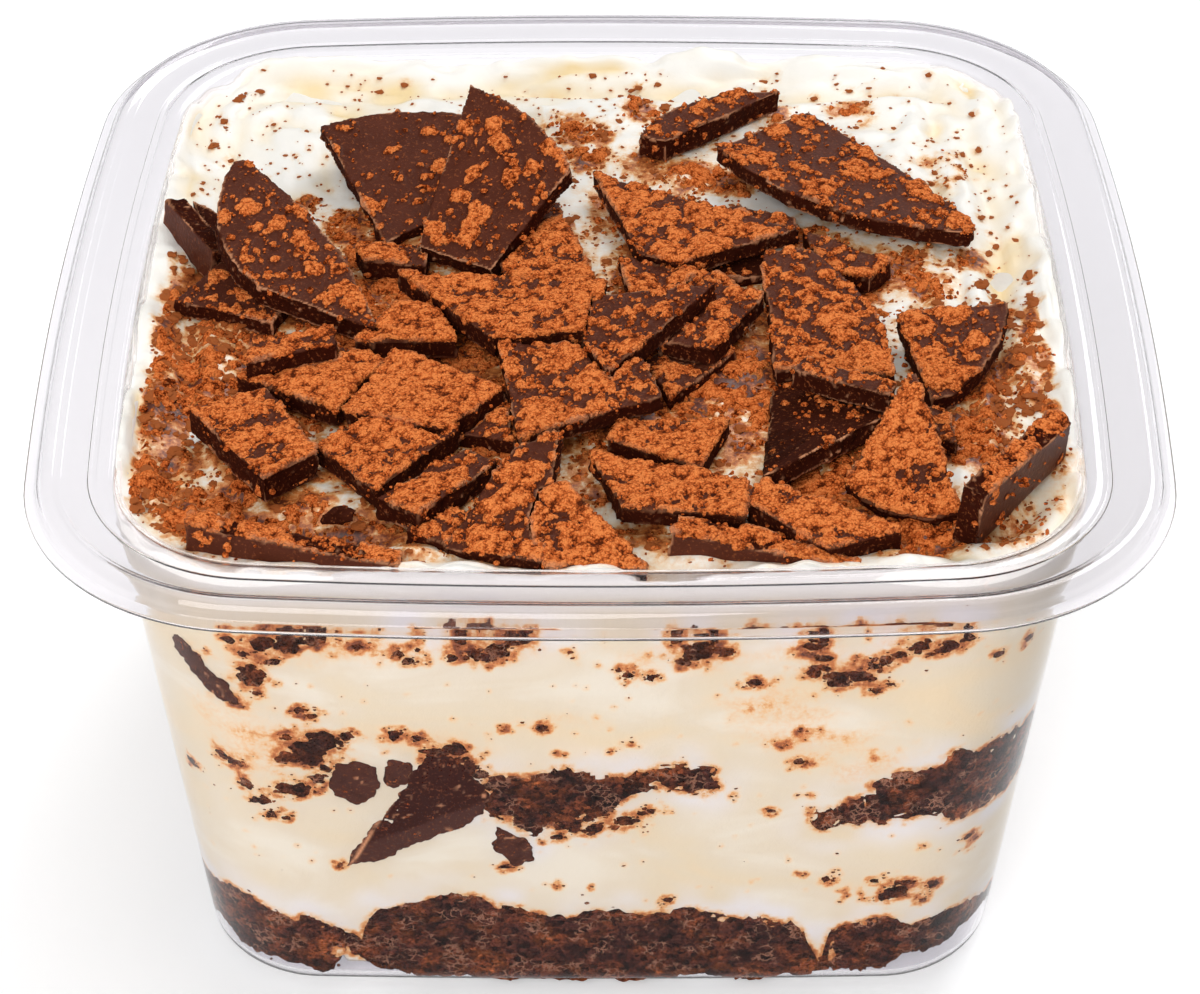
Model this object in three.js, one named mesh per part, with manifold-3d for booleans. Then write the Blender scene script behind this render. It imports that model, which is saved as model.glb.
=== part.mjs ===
// Mocha cake set in a clear square tub: dark sponge and cream in layers, broken chocolate plates on top.
// Units are millimetres, +Z is up, the front is -Y, the origin is the middle of the tub's underside.
import * as THREE from "three";
import { mergeVertices } from "three/addons/utils/BufferGeometryUtils.js";
import Module from "manifold-3d";

const wasm = await Module();
wasm.setup();

// ---------------------------------------------------------------- driving dimensions
const rimHalf = 65;            // half of the outer width over the rim
const rimCorner = 27.1;        // outer corner radius of the rim
const rimBow = 573;            // radius of the slightly bowed rim sides
const mouthHalf = 56.2;        // half width of the mouth's upper edge
const mouthHeight = 71;        // height of that edge above the underside
const baseHalf = 47.9;         // half width of the body, carried down to the underside
const bodyTopHalf = 54.7;      // half width of the body, carried up to the mouth
const baseCorner = 14;         // corner radius of the body at the underside
const bodyTopCorner = 16.9;    // corner radius of the body at the mouth
const bodyBow = 1300;          // radius of the nearly straight body sides
const baseRound = 3.7;         // rounding between underside and walls
const wall = 0.65;             // thickness of the clear plastic
const floorThick = 0.8;
const gap = 0.3;               // clearance between touching pieces
const spongeRound = 5;         // rounding of the sponge's lower edge
const creamLevel = 68.8;       // height of the cream's flat middle
const creamBank = 0.9;         // rise of the cream against the walls
const creamGroove = 0.8;       // depth of the groove that the spatula leaves inside the bank
const sideSteps = 4;           // segments in a side and in a corner of every ring
const cornerSteps = 5;

const colours = {
  plastic: { color: 0xe4e4ec, roughness: 0.08, metalness: 0 },
  cream: { color: 0xf3ebdc, roughness: 0.5, metalness: 0 },
  sponge: { color: 0x40221a, roughness: 0.9, metalness: 0 },
  chocolate: { color: 0x38201a, roughness: 0.45, metalness: 0 },
  dusted: { color: 0xa8572c, roughness: 0.95, metalness: 0 },
};

const object = new THREE.Group();

// ---------------------------------------------------------------- rings and lofts
// A ring is a square with rounded corners (radius corner) and sides bowed to the radius bow.
function ring(half, corner, bow, z) {
  const a = 2;
  const b = 2 * (bow - half);
  const c = (bow - half) ** 2 - (bow - corner) ** 2;
  const centre = (-b + Math.sqrt(b * b - 4 * a * c)) / (2 * a);
  const turn = Math.atan2(centre, bow - half + centre);
  const quarter = [];
  for (let i = 0; i <= sideSteps / 2; i += 1) {
    const t = (turn * i) / (sideSteps / 2);
    quarter.push([bow * Math.sin(t), half - bow + bow * Math.cos(t)]);
  }
  for (let i = 1; i <= cornerSteps; i += 1) {
    const t = turn + ((Math.PI / 2 - 2 * turn) * i) / cornerSteps;
    quarter.push([centre + corner * Math.sin(t), centre + corner * Math.cos(t)]);
  }
  for (let i = sideSteps / 2 - 1; i > 0; i -= 1) {
    const t = (turn * i) / (sideSteps / 2);
    quarter.push([half - bow + bow * Math.cos(t), bow * Math.sin(t)]);
  }
  const points = [];
  for (let k = 0; k < 4; k += 1) {
    const cos = Math.cos((-k * Math.PI) / 2);
    const sin = Math.sin((-k * Math.PI) / 2);
    quarter.forEach(([x, y]) => points.push(new THREE.Vector3(x * cos - y * sin, x * sin + y * cos, z)));
  }
  return points.reverse();
}

// The body's outline at the height z, moved outwards by offset.
function bodyHalf(z) {
  return THREE.MathUtils.lerp(baseHalf, bodyTopHalf, z / mouthHeight);
}

function bodyRing(z, offset) {
  const corner = THREE.MathUtils.lerp(baseCorner, bodyTopCorner, z / mouthHeight);
  return ring(bodyHalf(z) + offset, corner + offset, bodyBow, z);
}

// A rim outline is the outer rim outline moved inwards to the half width given.
function rimRing(half, z) {
  const inwards = rimHalf - half;
  return ring(half, rimCorner - inwards, rimBow - inwards, z);
}

// The rounding between a flat floor and the body, from the flat outwards and up.
function roundedRings(floor, offset, radius, steps) {
  const rings = [];
  for (let i = 0; i <= steps; i += 1) {
    const t = (Math.PI / 2) * (i / steps);
    rings.push(bodyRing(floor + radius * (1 - Math.cos(t)), offset - radius * (1 - Math.sin(t))));
  }
  return rings;
}

// Closed skin through rings that all have the same number of points, with a fan over both ends.
function loft(rings) {
  const count = rings[0].length;
  const positions = [];
  const faces = [];
  rings.forEach((points) => points.forEach((p) => positions.push(p.x, p.y, p.z)));
  for (let r = 0; r + 1 < rings.length; r += 1) {
    for (let i = 0; i < count; i += 1) {
      const j = (i + 1) % count;
      const [a, b, c, d] = [r * count + i, r * count + j, (r + 1) * count + j, (r + 1) * count + i];
      faces.push(a, b, c, a, c, d);
    }
  }
  [0, rings.length - 1].forEach((r) => {
    const middle = positions.length / 3;
    const z = rings[r].reduce((sum, p) => sum + p.z, 0) / count;
    positions.push(0, 0, z);
    for (let i = 0; i < count; i += 1) {
      const j = (i + 1) % count;
      const edge = r === 0 ? [r * count + j, r * count + i] : [r * count + i, r * count + j];
      faces.push(middle, ...edge);
    }
  });
  return skin(positions, faces);
}

function skin(positions, faces) {
  const geometry = new THREE.BufferGeometry();
  geometry.setAttribute("position", new THREE.Float32BufferAttribute(positions, 3));
  geometry.setIndex(faces);
  return geometry;
}

// ---------------------------------------------------------------- booleans
function solid(geometry) {
  const bare = geometry.clone();
  bare.deleteAttribute("normal");
  bare.deleteAttribute("uv");
  const merged = mergeVertices(bare, 1e-4);
  return new wasm.Manifold(new wasm.Mesh({
    numProp: 3,
    vertProperties: new Float32Array(merged.attributes.position.array),
    triVerts: new Uint32Array(merged.index.array),
  }));
}

function geometryOf(body) {
  const mesh = body.getMesh();
  return skin(Array.from(mesh.vertProperties), Array.from(mesh.triVerts));
}

// A cut can leave crumbs beside the piece, so only its largest part is kept.
function largest(body) {
  const parts = body.decompose();
  return parts.reduce((best, part) => (part.volume() > best.volume() ? part : best));
}

function meet(one, other) {
  const a = one.boundingBox();
  const b = other.boundingBox();
  return [0, 1, 2].every((i) => a.min[i] < b.max[i] && b.min[i] < a.max[i]);
}

function cutAll(body, cutters) {
  return cutters.reduce((left, cutter) => (meet(left, cutter) ? left.subtract(cutter) : left), body);
}

function add(name, geometry, finish, frame = new THREE.Matrix4()) {
  const placed = geometry.clone().applyMatrix4(frame.clone().invert());
  const mesh = new THREE.Mesh(placed, new THREE.MeshStandardMaterial(colours[finish]));
  mesh.name = name;
  mesh.applyMatrix4(frame);
  object.add(mesh);
}

// ---------------------------------------------------------------- the clear tub
// One thin shell: underside, walls, a flange that ends in a turned-down lip, and back down inside.
const lip = [
  [55.4, 70.1], [58.3, 70.3], [62, 71.1], [63.4, 69.6], [64.3, 69.05], [rimHalf, 69.05],
  [rimHalf, 69.67], [64.05, 70.06], [63.4, 71.2], [62.2, 71.85], [60.2, 71.45], [58.15, 71.05],
  [mouthHalf, mouthHeight],
];
const tubRings = [
  ...roundedRings(0, 0, baseRound, 4),
  bodyRing(69.2, 0),
  ...lip.map(([half, z]) => rimRing(half, z)),
  bodyRing(69.4, -wall),
  ...roundedRings(floorThick, -wall, baseRound - wall, 4).reverse(),
];
add("tub", loft(tubRings), "plastic");

// ---------------------------------------------------------------- room for the contents
// The space inside the tub, a clearance off its walls, carried straight up above the mouth.
function roomAbove(round) {
  const inset = -wall - gap;
  return solid(loft([
    ...roundedRings(floorThick + gap, inset, round, 4),
    bodyRing(69.4, inset),
    rimRing(mouthHalf - 0.6, mouthHeight + 0.4),
    rimRing(mouthHalf - 0.6, mouthHeight + 40),
  ]));
}
const room = roomAbove(baseRound - wall);
const spongeRoom = roomAbove(spongeRound);

// ---------------------------------------------------------------- sponge layers
// A hump is [place along X, height, half width]; humps wander a little to the side towards the back.
function humps(list, x, y) {
  const wander = 2.5 * Math.sin(y / 19 + 1);
  return list.reduce((sum, [at, high, wide]) => sum + high * Math.exp(-(((x - at - wander) / wide) ** 2)), 0);
}

const bed = {
  top: (x, y) => 10.5 + humps([[-46, 6.8, 9], [-17, 7, 10], [0, 3.2, 9], [13, 4.6, 9.5], [38, 3.2, 12]], x, y)
    + 0.5 * Math.sin(x / 2.3 + y / 9),
  bottom: (x) => floorThick + gap + 5.5 * THREE.MathUtils.smoothstep(Math.abs(x + 2), 36, 46),
};

const layers = [
  { name: "sponge_bottom_left", from: -52, to: -30.6, ...bed },
  { name: "sponge_bottom_middle", from: -30.1, to: 27.2, ...bed },
  { name: "sponge_bottom_right", from: 28.2, to: 52, ...bed },
  {
    name: "sponge_middle_left",
    from: -13,
    to: 12.5,
    top: (x, y) => 38.3 + 0.7 * Math.cos(x / 4 + y / 11),
    bottom: (x, y) => 36.6 - humps([[-4, 8.4, 9]], x, y),
  },
  {
    name: "sponge_middle_right",
    from: 25.5,
    to: 55,
    top: (x, y) => 31 + 9 * THREE.MathUtils.smoothstep(x, 23, 41) + 0.6 * Math.sin(x / 3 + y / 8),
    bottom: (x, y) => 30 + 0.6 * Math.sin(x / 5 + y / 10),
  },
  {
    name: "sponge_upper_left",
    from: -20,
    to: -4.5,
    top: (x, y) => 61.5 + 0.5 * Math.sin(x / 3 + y / 9),
    bottom: (x, y) => 58.6 - humps([[-12, 1.8, 5]], x, y),
  },
  {
    name: "sponge_upper_right",
    from: 8,
    to: 41,
    top: (x, y) => 61.5 + 0.5 * Math.cos(x / 3 + y / 9),
    bottom: (x, y) => 59.4 - humps([[12, 3, 3.5], [26, 6.5, 4.5], [36, 2, 4]], x, y),
  },
];

// The space between a layer's lower and upper face, from wall to wall, grown on all sides by grow.
function layerBody({ from, to, top, bottom }, grow) {
  const reach = 58;
  const across = Math.max(4, Math.round((to - from) / 5));
  const along = 5;
  const positions = [];
  const faces = [];
  const at = (i, j, k) => (i * (along + 1) + j) * 2 + k;
  for (let i = 0; i <= across; i += 1) {
    for (let j = 0; j <= along; j += 1) {
      const x = from + ((to - from) * i) / across;
      const y = -reach + (2 * reach * j) / along;
      const edge = i === 0 ? -grow : 0;
      const place = i === across ? x + grow : x + edge;
      positions.push(place, y, bottom(x, y) - grow, place, y, top(x, y) + grow);
    }
  }
  const quad = (a, b, c, d) => faces.push(a, b, c, a, c, d);
  for (let i = 0; i < across; i += 1) {
    for (let j = 0; j < along; j += 1) {
      quad(at(i, j, 1), at(i + 1, j, 1), at(i + 1, j + 1, 1), at(i, j + 1, 1));
      quad(at(i, j, 0), at(i, j + 1, 0), at(i + 1, j + 1, 0), at(i + 1, j, 0));
    }
    quad(at(i, 0, 0), at(i + 1, 0, 0), at(i + 1, 0, 1), at(i, 0, 1));
    quad(at(i, along, 1), at(i + 1, along, 1), at(i + 1, along, 0), at(i, along, 0));
  }
  for (let j = 0; j < along; j += 1) {
    quad(at(0, j, 1), at(0, j + 1, 1), at(0, j + 1, 0), at(0, j, 0));
    quad(at(across, j, 0), at(across, j + 1, 0), at(across, j + 1, 1), at(across, j, 1));
  }
  return solid(skin(positions, faces));
}

// ---------------------------------------------------------------- chocolate plates
// Each is a broken piece of a poured disc. Its upper face is a four-sided outline in its own plane: a near
// edge (its middle is at), a far edge length away, moved sideways by shift and turned askew by slant.
// The face points along the heading turn, rises by rise, and leans by lean about that line (degrees).
// bows are how far the right, far, left and near edges bulge, as the disc's round edge does.
const plates = [
  { name: "tall_back", at: [-17.5, 3.5, 71.8], turn: 62, rise: 22, lean: 3,
    length: 20.5, near: 10, far: 17.5, shift: 1.5, slant: 7.5, thick: 2.5, bows: [0, 2, 0, 0] },
  { name: "blade_left", at: [-33, -9, 73.1], turn: 65, rise: 8, lean: 7,
    length: 18.3, near: 15.7, far: 1, shift: 20.5, slant: -0.7, thick: 3, bows: [2.5, 0, 3.4, 0] },
  { name: "centre_wet", at: [-0.5, -20.3, 74.2], turn: 27, rise: 4, lean: -3,
    length: 12, near: 7, far: 6, shift: 8.5, slant: -13, thick: 2.2, bows: [0, 0, 0, 0] },
  { name: "bar_right", at: [22.5, -22, 74.4], turn: -31, rise: 4, lean: -7,
    length: 12.2, near: 3, far: 3, shift: 0, slant: -0.5, thick: 2.4, bows: [0, 0, 0, 0] },
  { name: "point_right", at: [33, -42.7, 70.8], turn: 68, rise: 22, lean: 2,
    length: 16, near: 13, far: 0.8, shift: 4, slant: -0.5, thick: 2.5, bows: [0, 0, 0, 2] },
  { name: "lean_front_right", at: [-0.3, -53.8, 70], turn: 90, rise: 18, lean: 3,
    length: 10.7, near: 11, far: 2.5, shift: 4.7, slant: -0.8, thick: 2.4, bows: [0, 0, 1.2, 0] },
  { name: "lean_front", at: [-11.5, -52.3, 70.8], turn: 77, rise: 14, lean: -2,
    length: 16.5, near: 11, far: 4.5, shift: -1, slant: -3, thick: 2.4, bows: [0, 0, 0, 0] },
  { name: "slab_back", at: [7, 1.6, 72.9], turn: 60, rise: 0, lean: -3,
    length: 13.7, near: 5.3, far: 29, shift: 2.8, slant: 0.6, thick: 2, bows: [0, 0, 0, 0] },
  { name: "dome_right", at: [26.8, -20.2, 71.7], turn: 84, rise: 3, lean: -1,
    length: 23.2, near: 13.5, far: 5.8, shift: 7, slant: -1.3, thick: 2.5, bows: [2.6, 0.6, 0, 0] },
  { name: "moon_right", at: [20.6, 32.3, 72.2], turn: -44, rise: -1, lean: -8,
    length: 33, near: 17.3, far: 2.2, shift: 1.7, slant: -1, thick: 1.9, bows: [5.5, 0, 1, 0] },
  { name: "wing_right", at: [39, -24, 71.2], turn: 107, rise: 5, lean: -5,
    length: 14, near: 3, far: 13.2, shift: -6.5, slant: 2.5, thick: 2.2, bows: [1.3, 0, 0, 0] },
  { name: "wet_plate", at: [-10.4, -25, 73], turn: 9, rise: 2, lean: 2,
    length: 16.4, near: 18.5, far: 8, shift: -0.5, slant: -1.2, thick: 2, bows: [0, 0, 0, 0] },
  { name: "big_centre", at: [-18, -8.2, 72.8], turn: 37, rise: 0, lean: -4,
    length: 13.6, near: 20, far: 7.5, shift: -11.7, slant: 8, thick: 2.4, bows: [0, 0, 0, 0] },
  { name: "centre_ledge", at: [10, -16, 72.7], turn: 67, rise: 1, lean: -2,
    length: 13, near: 6.7, far: 9.5, shift: 0, slant: 0.8, thick: 2.2, bows: [0, 0, 0, 0] },
  { name: "centre_rim", at: [3, -1, 72.2], turn: 10, rise: 0, lean: 0,
    length: 9.8, near: 9.7, far: 7, shift: -1.7, slant: -6.3, thick: 2.4, bows: [0, 0.8, 0, 0] },
  { name: "fan_back", at: [-23.2, 11.4, 70.6], turn: 125, rise: 9, lean: -7,
    length: 17.3, near: 7, far: 17.5, shift: -9.6, slant: 10.4, thick: 2.2, bows: [0, 1.8, 0, 0] },
  { name: "block_back", at: [6.6, 30.6, 72], turn: 68, rise: 1, lean: 0,
    length: 15.6, near: 3.6, far: 4.5, shift: -9, slant: -1.8, thick: 3, bows: [0, 0, 2.2, 0] },
  { name: "dark_right", at: [18.8, -29.7, 71], turn: -5, rise: 8, lean: -7,
    length: 12.8, near: 22, far: 9.7, shift: 5.7, slant: 0, thick: 2.2, bows: [0, 0, 0, 0] },
  { name: "wall_right", at: [40.7, -49.6, 72.9], turn: 54, rise: 1, lean: 97,
    length: 19.3, near: 8, far: 5.7, shift: -1, slant: -0.7, thick: 2.8, bows: [0, 0, 0, 0] },
  { name: "sliver_front", at: [8, -48.6, 71.9], turn: -13, rise: -6, lean: 0,
    length: 20.6, near: 2.6, far: 1, shift: 0, slant: 0, thick: 4.3, bows: [0, 0, 1.2, 0] },
  { name: "slab_front", at: [0.7, -40, 71.4], turn: 19, rise: 0, lean: -2,
    length: 13.2, near: 10.5, far: 6, shift: -8.5, slant: 2.6, thick: 2, bows: [0, 0, 0, 0] },
  { name: "slab_front_right", at: [19.7, -48, 71.7], turn: 48, rise: 1, lean: 2,
    length: 6, near: 12.3, far: 16.7, shift: -2, slant: -3.6, thick: 2.5, bows: [0, 0, 0, 0] },
  { name: "long_front", at: [-44.2, -48, 72.2], turn: -12, rise: -4, lean: -8,
    length: 23.4, near: 2.8, far: 2.6, shift: 0, slant: 0, thick: 5, bows: [0, 0, 0, 0] },
  { name: "shelf_left", at: [-35.3, -19.6, 74], turn: 112, rise: -3, lean: 0,
    length: 3.7, near: 10.8, far: 9.2, shift: -1.6, slant: 0.6, thick: 2.2, bows: [0, 0, 0, 0] },
  { name: "block_left", at: [-41.5, -34.8, 72.6], turn: 34, rise: 0, lean: -2,
    length: 8.4, near: 17, far: 14.4, shift: -0.3, slant: 1.9, thick: 3.2, bows: [0, 0, 0, 0] },
  { name: "big_left", at: [-23, -30.8, 72.7], turn: 70, rise: 0, lean: -2,
    length: 11, near: 12, far: 14.7, shift: -2, slant: 3.5, thick: 2.4, bows: [0, 0, 0, 0] },
  { name: "big_front_left", at: [-28, -38.6, 72], turn: 39, rise: 3, lean: -2,
    length: 12.5, near: 11.3, far: 8.7, shift: 1.5, slant: -1.5, thick: 2.4, bows: [0, 0, 0, 0] },
  { name: "block_front", at: [-22, -45.4, 72.1], turn: 57, rise: 1, lean: -2,
    length: 12.2, near: 5.7, far: 4.7, shift: -2.8, slant: -0.4, thick: 2.8, bows: [0, 0, 0, 0] },
  { name: "plate_mid_left", at: [-22.5, -14, 71.7], turn: 90, rise: 1, lean: 0,
    length: 7, near: 12, far: 5, shift: -1, slant: 1.5, thick: 2.2, bows: [0, 0, 0, 0] },
  { name: "spur_centre", at: [-11.4, -0.2, 71.7], turn: 15, rise: 1, lean: -1,
    length: 10, near: 11.2, far: 15.2, shift: 3.5, slant: 0, thick: 2.2, bows: [0, 0, 0, 0] },
  { name: "stub_left", at: [-12.7, -31.7, 71.1], turn: 73, rise: 2, lean: -2,
    length: 9, near: 7.3, far: 2.2, shift: 1.3, slant: -3.5, thick: 2.2, bows: [0, 0, 0, 0] },
  { name: "plate_left", at: [-35.6, -24.1, 71.6], turn: 60, rise: 1, lean: 0,
    length: 11, near: 13.7, far: 9.3, shift: -1.7, slant: 0.3, thick: 2.2, bows: [0, 0, 0, 0] },
  { name: "chip_centre", at: [6, -34.5, 70.8], turn: 62, rise: 1, lean: 0,
    length: 6.6, near: 11.5, far: 10.6, shift: 0.7, slant: -6, thick: 2, bows: [0, 0, 0, 0] },
  { name: "low_front", at: [-18.5, -48.8, 70.4], turn: 65, rise: 2, lean: 0,
    length: 5.4, near: 5.7, far: 6.2, shift: 0, slant: -0.8, thick: 2, bows: [0, 0, 0, 0] },
  { name: "wedge_right", at: [25.7, 6, 71.2], turn: 12, rise: 0, lean: 0,
    length: 6.8, near: 9.6, far: 3.1, shift: -5.6, slant: 3.6, thick: 2.4, bows: [0, 0, 0, 0] },
  { name: "under_back", at: [15, 12.4, 71], turn: -13, rise: 0, lean: 0,
    length: 9, near: 9, far: 2.8, shift: 2, slant: -1.2, thick: 2, bows: [0, 0, 0, 0] },
  { name: "gap_back", at: [12.4, 4, 70], turn: -11, rise: 0, lean: 0,
    length: 8.6, near: 5.1, far: 5.1, shift: 2.7, slant: 0, thick: 2, bows: [0, 0, 0, 0] },
  { name: "dark_centre", at: [6.5, -19.7, 70.4], turn: 22, rise: 0, lean: 0,
    length: 8, near: 8, far: 4.4, shift: 4, slant: -5.7, thick: 2, bows: [0, 0, 0, 0] },
  { name: "low_left", at: [-44.5, -6, 70.5], turn: 68, rise: 2, lean: 0,
    length: 9.2, near: 13, far: 11, shift: -0.6, slant: 0, thick: 2, bows: [0, 0, 0, 0] },
  { name: "edge_left", at: [-44.6, 5, 70], turn: 122, rise: 3, lean: 100,
    length: 12.6, near: 4.6, far: 4, shift: 0, slant: 0, thick: 2.6, bows: [0, 0, 0, 0] },
  { name: "chip_left", at: [-46.3, 9.5, 70.5], turn: 57, rise: 0, lean: 0,
    length: 4.9, near: 2.7, far: 5.6, shift: 5.5, slant: 0.8, thick: 2.5, bows: [0, 0, 0, 0] },
  { name: "block_small_left", at: [-24.5, 3.2, 71.2], turn: 82, rise: 0, lean: 0,
    length: 3.8, near: 7.5, far: 8.8, shift: 1.3, slant: -1.2, thick: 2.5, bows: [0, 0, 0, 0] },
  { name: "chip_right", at: [38.8, -32.2, 71], turn: 66, rise: 0, lean: 0,
    length: 5.6, near: 2.4, far: 2.6, shift: 3.1, slant: 0, thick: 2, bows: [0, 0, 0, 0] },
  { name: "chip_back", at: [-7.7, 15.6, 71], turn: 6, rise: 0, lean: 0,
    length: 3, near: 4.5, far: 3, shift: 0, slant: 0, thick: 2, bows: [0, 0, 0, 0] },
];

// Outline of a plate's upper face, counterclockwise; a bulging edge is an arc of bowSteps chords.
function plateOutline({ length, near, far, shift, slant, bows }) {
  const bowSteps = 6;
  const corners = [
    [0, -near / 2],
    [length - slant / 2, shift - far / 2],
    [length + slant / 2, shift + far / 2],
    [0, near / 2],
  ].map(([x, y]) => new THREE.Vector2(x, y));
  const outline = [];
  corners.forEach((start, k) => {
    const end = corners[(k + 1) % 4];
    const chord = end.clone().sub(start);
    if (chord.length() < 0.05) {
      return;
    }
    outline.push(start);
    const out = new THREE.Vector2(chord.y, -chord.x).normalize();
    for (let i = 1; bows[k] > 0 && i < bowSteps; i += 1) {
      const t = i / bowSteps;
      outline.push(start.clone().addScaledVector(chord, t).addScaledVector(out, bows[k] * 4 * t * (1 - t)));
    }
  });
  return outline;
}

// Moves every edge of an outline outwards by the distance grow.
function grown(outline, grow) {
  const count = outline.length;
  return outline.map((p, i) => {
    const before = p.clone().sub(outline[(i + count - 1) % count]).normalize();
    const after = outline[(i + 1) % count].clone().sub(p).normalize();
    const one = new THREE.Vector2(before.y, -before.x);
    const two = new THREE.Vector2(after.y, -after.x);
    const out = one.add(two);
    const reach = 2 / Math.max(out.lengthSq(), 0.25);
    return p.clone().addScaledVector(out, grow * reach);
  });
}

function plateFrame({ at, turn, rise, lean }) {
  const degrees = THREE.MathUtils.degToRad;
  const rotation = new THREE.Euler(degrees(lean), degrees(-rise), degrees(turn), "ZYX");
  return new THREE.Matrix4().makeRotationFromEuler(rotation).setPosition(...at);
}

function plateBody(plate, grow) {
  const shape = new THREE.Shape(grown(plateOutline(plate), grow));
  const geometry = new THREE.ExtrudeGeometry(shape, { depth: plate.thick + 2 * grow, bevelEnabled: false });
  geometry.translate(0, 0, -plate.thick - grow);
  return solid(geometry.applyMatrix4(plateFrame(plate)));
}

// Plates higher in the pile keep their shape, and those under them stop a clearance below.
const plateCutters = [];
plates.forEach((plate) => {
  const body = cutAll(plateBody(plate, 0).intersect(room), plateCutters);
  add(plate.name, geometryOf(largest(body)), "chocolate", plateFrame(plate));
  plateCutters.push(plateBody(plate, gap));
});

// ---------------------------------------------------------------- chocolate set in the cream at the wall
// Outlines in the plane of the front wall, [x, z]; each piece reaches inwards from the wall by its depth.
const setPieces = [
  { name: "chip_side", depth: 4,
    outline: [[-27.6, 33.2], [-25.6, 34.2], [-24.9, 36.4], [-25.3, 39.2], [-27.2, 40.2], [-29.6, 39.5],
      [-30.4, 37], [-30, 34.6]] },
  { name: "chip_side_small", depth: 3,
    outline: [[-23.4, 36], [-22, 37], [-21.3, 38.6], [-21.6, 39.8], [-23.6, 40.2], [-24.5, 38.6],
      [-24.3, 36.8]] },
  { name: "shard_side", depth: 3,
    outline: [[-29.5, 22.2], [-24, 24.6], [-17, 28.8], [-13.4, 31.6], [-12.4, 35], [-16.8, 41], [-19.4, 41.2],
      [-26, 29]] },
  { name: "flake_side", depth: 3,
    outline: [[-12.2, 25.8], [-9.8, 22.8], [-7.8, 23.6], [-8.6, 27], [-11.8, 29.4]] },
  { name: "sliver_corner", depth: 10,
    outline: [[-46.4, 54.6], [-41.6, 48.6], [-39.8, 48.9], [-40.4, 50.8], [-45.6, 57]] },
];

// The slice of a set piece between its depth and a plane outside the wall, grown by grow.
function setBody({ outline, depth }, grow) {
  const shape = new THREE.Shape(grown(outline.map(([x, z]) => new THREE.Vector2(x, z)), grow));
  const wallFace = bodyHalf(outline[0][1]) - wall - gap;
  const outside = bodyTopHalf + 1;
  const inner = wallFace - depth - grow;
  const geometry = new THREE.ExtrudeGeometry(shape, { depth: outside - inner, bevelEnabled: false });
  geometry.rotateX(Math.PI / 2);
  geometry.translate(0, -inner, 0);
  return solid(geometry);
}

const setCutters = setPieces.map((piece) => setBody(piece, gap));
setPieces.forEach((piece) => {
  add(piece.name, geometryOf(largest(setBody(piece, 0).intersect(room))), "chocolate");
});
layers.forEach((layer) => {
  add(layer.name, geometryOf(largest(cutAll(layerBody(layer, 0).intersect(spongeRoom), setCutters))), "sponge");
});

// ---------------------------------------------------------------- cream
// It fills the tub round the sponge, with a bank against the walls and a groove inside the bank.
function creamHeight(x, y, inwards) {
  const bank = creamBank * Math.exp(-((inwards / 3) ** 2));
  const groove = creamGroove * Math.exp(-(((inwards - 6.5) / 2.5) ** 2));
  const waves = 0.3 * Math.sin(0.13 * x + 0.6) * Math.cos(0.1 * y + 1.1) + 0.15 * Math.sin(0.31 * x + 0.2 * y);
  return creamLevel + bank - groove + waves;
}

const edgeHalf = bodyHalf(creamLevel) - wall - gap;
const edgeRing = bodyRing(creamLevel, -wall - gap);
const creamTop = [0, 1.5, 3.5, 6.5, 9.5, 14, 24, 38].map((inwards) => edgeRing.map((p) => {
  const share = 1 - inwards / edgeHalf;
  const x = p.x * share;
  const y = p.y * share;
  return new THREE.Vector3(x, y, creamHeight(x, y, inwards));
}));
const creamRings = [...roundedRings(floorThick + gap, -wall - gap, baseRound - wall, 3), ...creamTop];

// Under the cream lies the sponge bed: all that is below its upper face is left out, cracks included.
const bedCutter = layerBody({ from: -58, to: 58, top: bed.top, bottom: () => -1 }, gap);
const layerCutters = layers.map((layer) => layerBody(layer, gap));
const cream = cutAll(solid(loft(creamRings)), [bedCutter, ...layerCutters, ...setCutters, ...plateCutters]);
add("cream", geometryOf(largest(cream)), "cream");

export default object;
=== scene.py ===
# Mocha cake in a clear square tub: cream and dark sponge in layers, under a heap of broken chocolate dusted
# with cocoa. Lengths are in millimetres until a mesh is finished, and Blender's own unit is the metre.
import math
import random

import bpy
import numpy as np
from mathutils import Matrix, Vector, kdtree


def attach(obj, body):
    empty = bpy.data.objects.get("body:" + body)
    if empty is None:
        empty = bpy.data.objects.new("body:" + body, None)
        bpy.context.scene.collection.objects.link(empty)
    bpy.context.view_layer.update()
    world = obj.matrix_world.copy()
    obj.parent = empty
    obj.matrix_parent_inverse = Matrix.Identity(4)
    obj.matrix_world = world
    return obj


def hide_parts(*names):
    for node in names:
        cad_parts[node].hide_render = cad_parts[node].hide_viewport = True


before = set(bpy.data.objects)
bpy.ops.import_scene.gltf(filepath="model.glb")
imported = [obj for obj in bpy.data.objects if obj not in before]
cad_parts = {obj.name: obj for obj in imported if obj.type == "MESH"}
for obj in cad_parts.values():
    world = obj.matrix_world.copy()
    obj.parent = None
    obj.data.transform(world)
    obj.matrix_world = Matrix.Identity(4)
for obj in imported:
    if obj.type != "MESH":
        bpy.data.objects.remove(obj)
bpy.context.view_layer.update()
scene = bpy.context.scene
MM = 0.001

# ------------------------------------------------------------------ the camera
# It stands in front of the tub and looks down on the heap and on the front wall.
camera_data = bpy.data.cameras.new("camera")
camera_data.lens = 101.195
camera_data.clip_start = 0.01
camera = bpy.data.objects.new("camera", camera_data)
camera.location = (0, -0.334475, 0.295567)
camera.rotation_euler = (math.radians(90 - 37.551), 0, 0)
scene.collection.objects.link(camera)
scene.camera = camera

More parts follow.
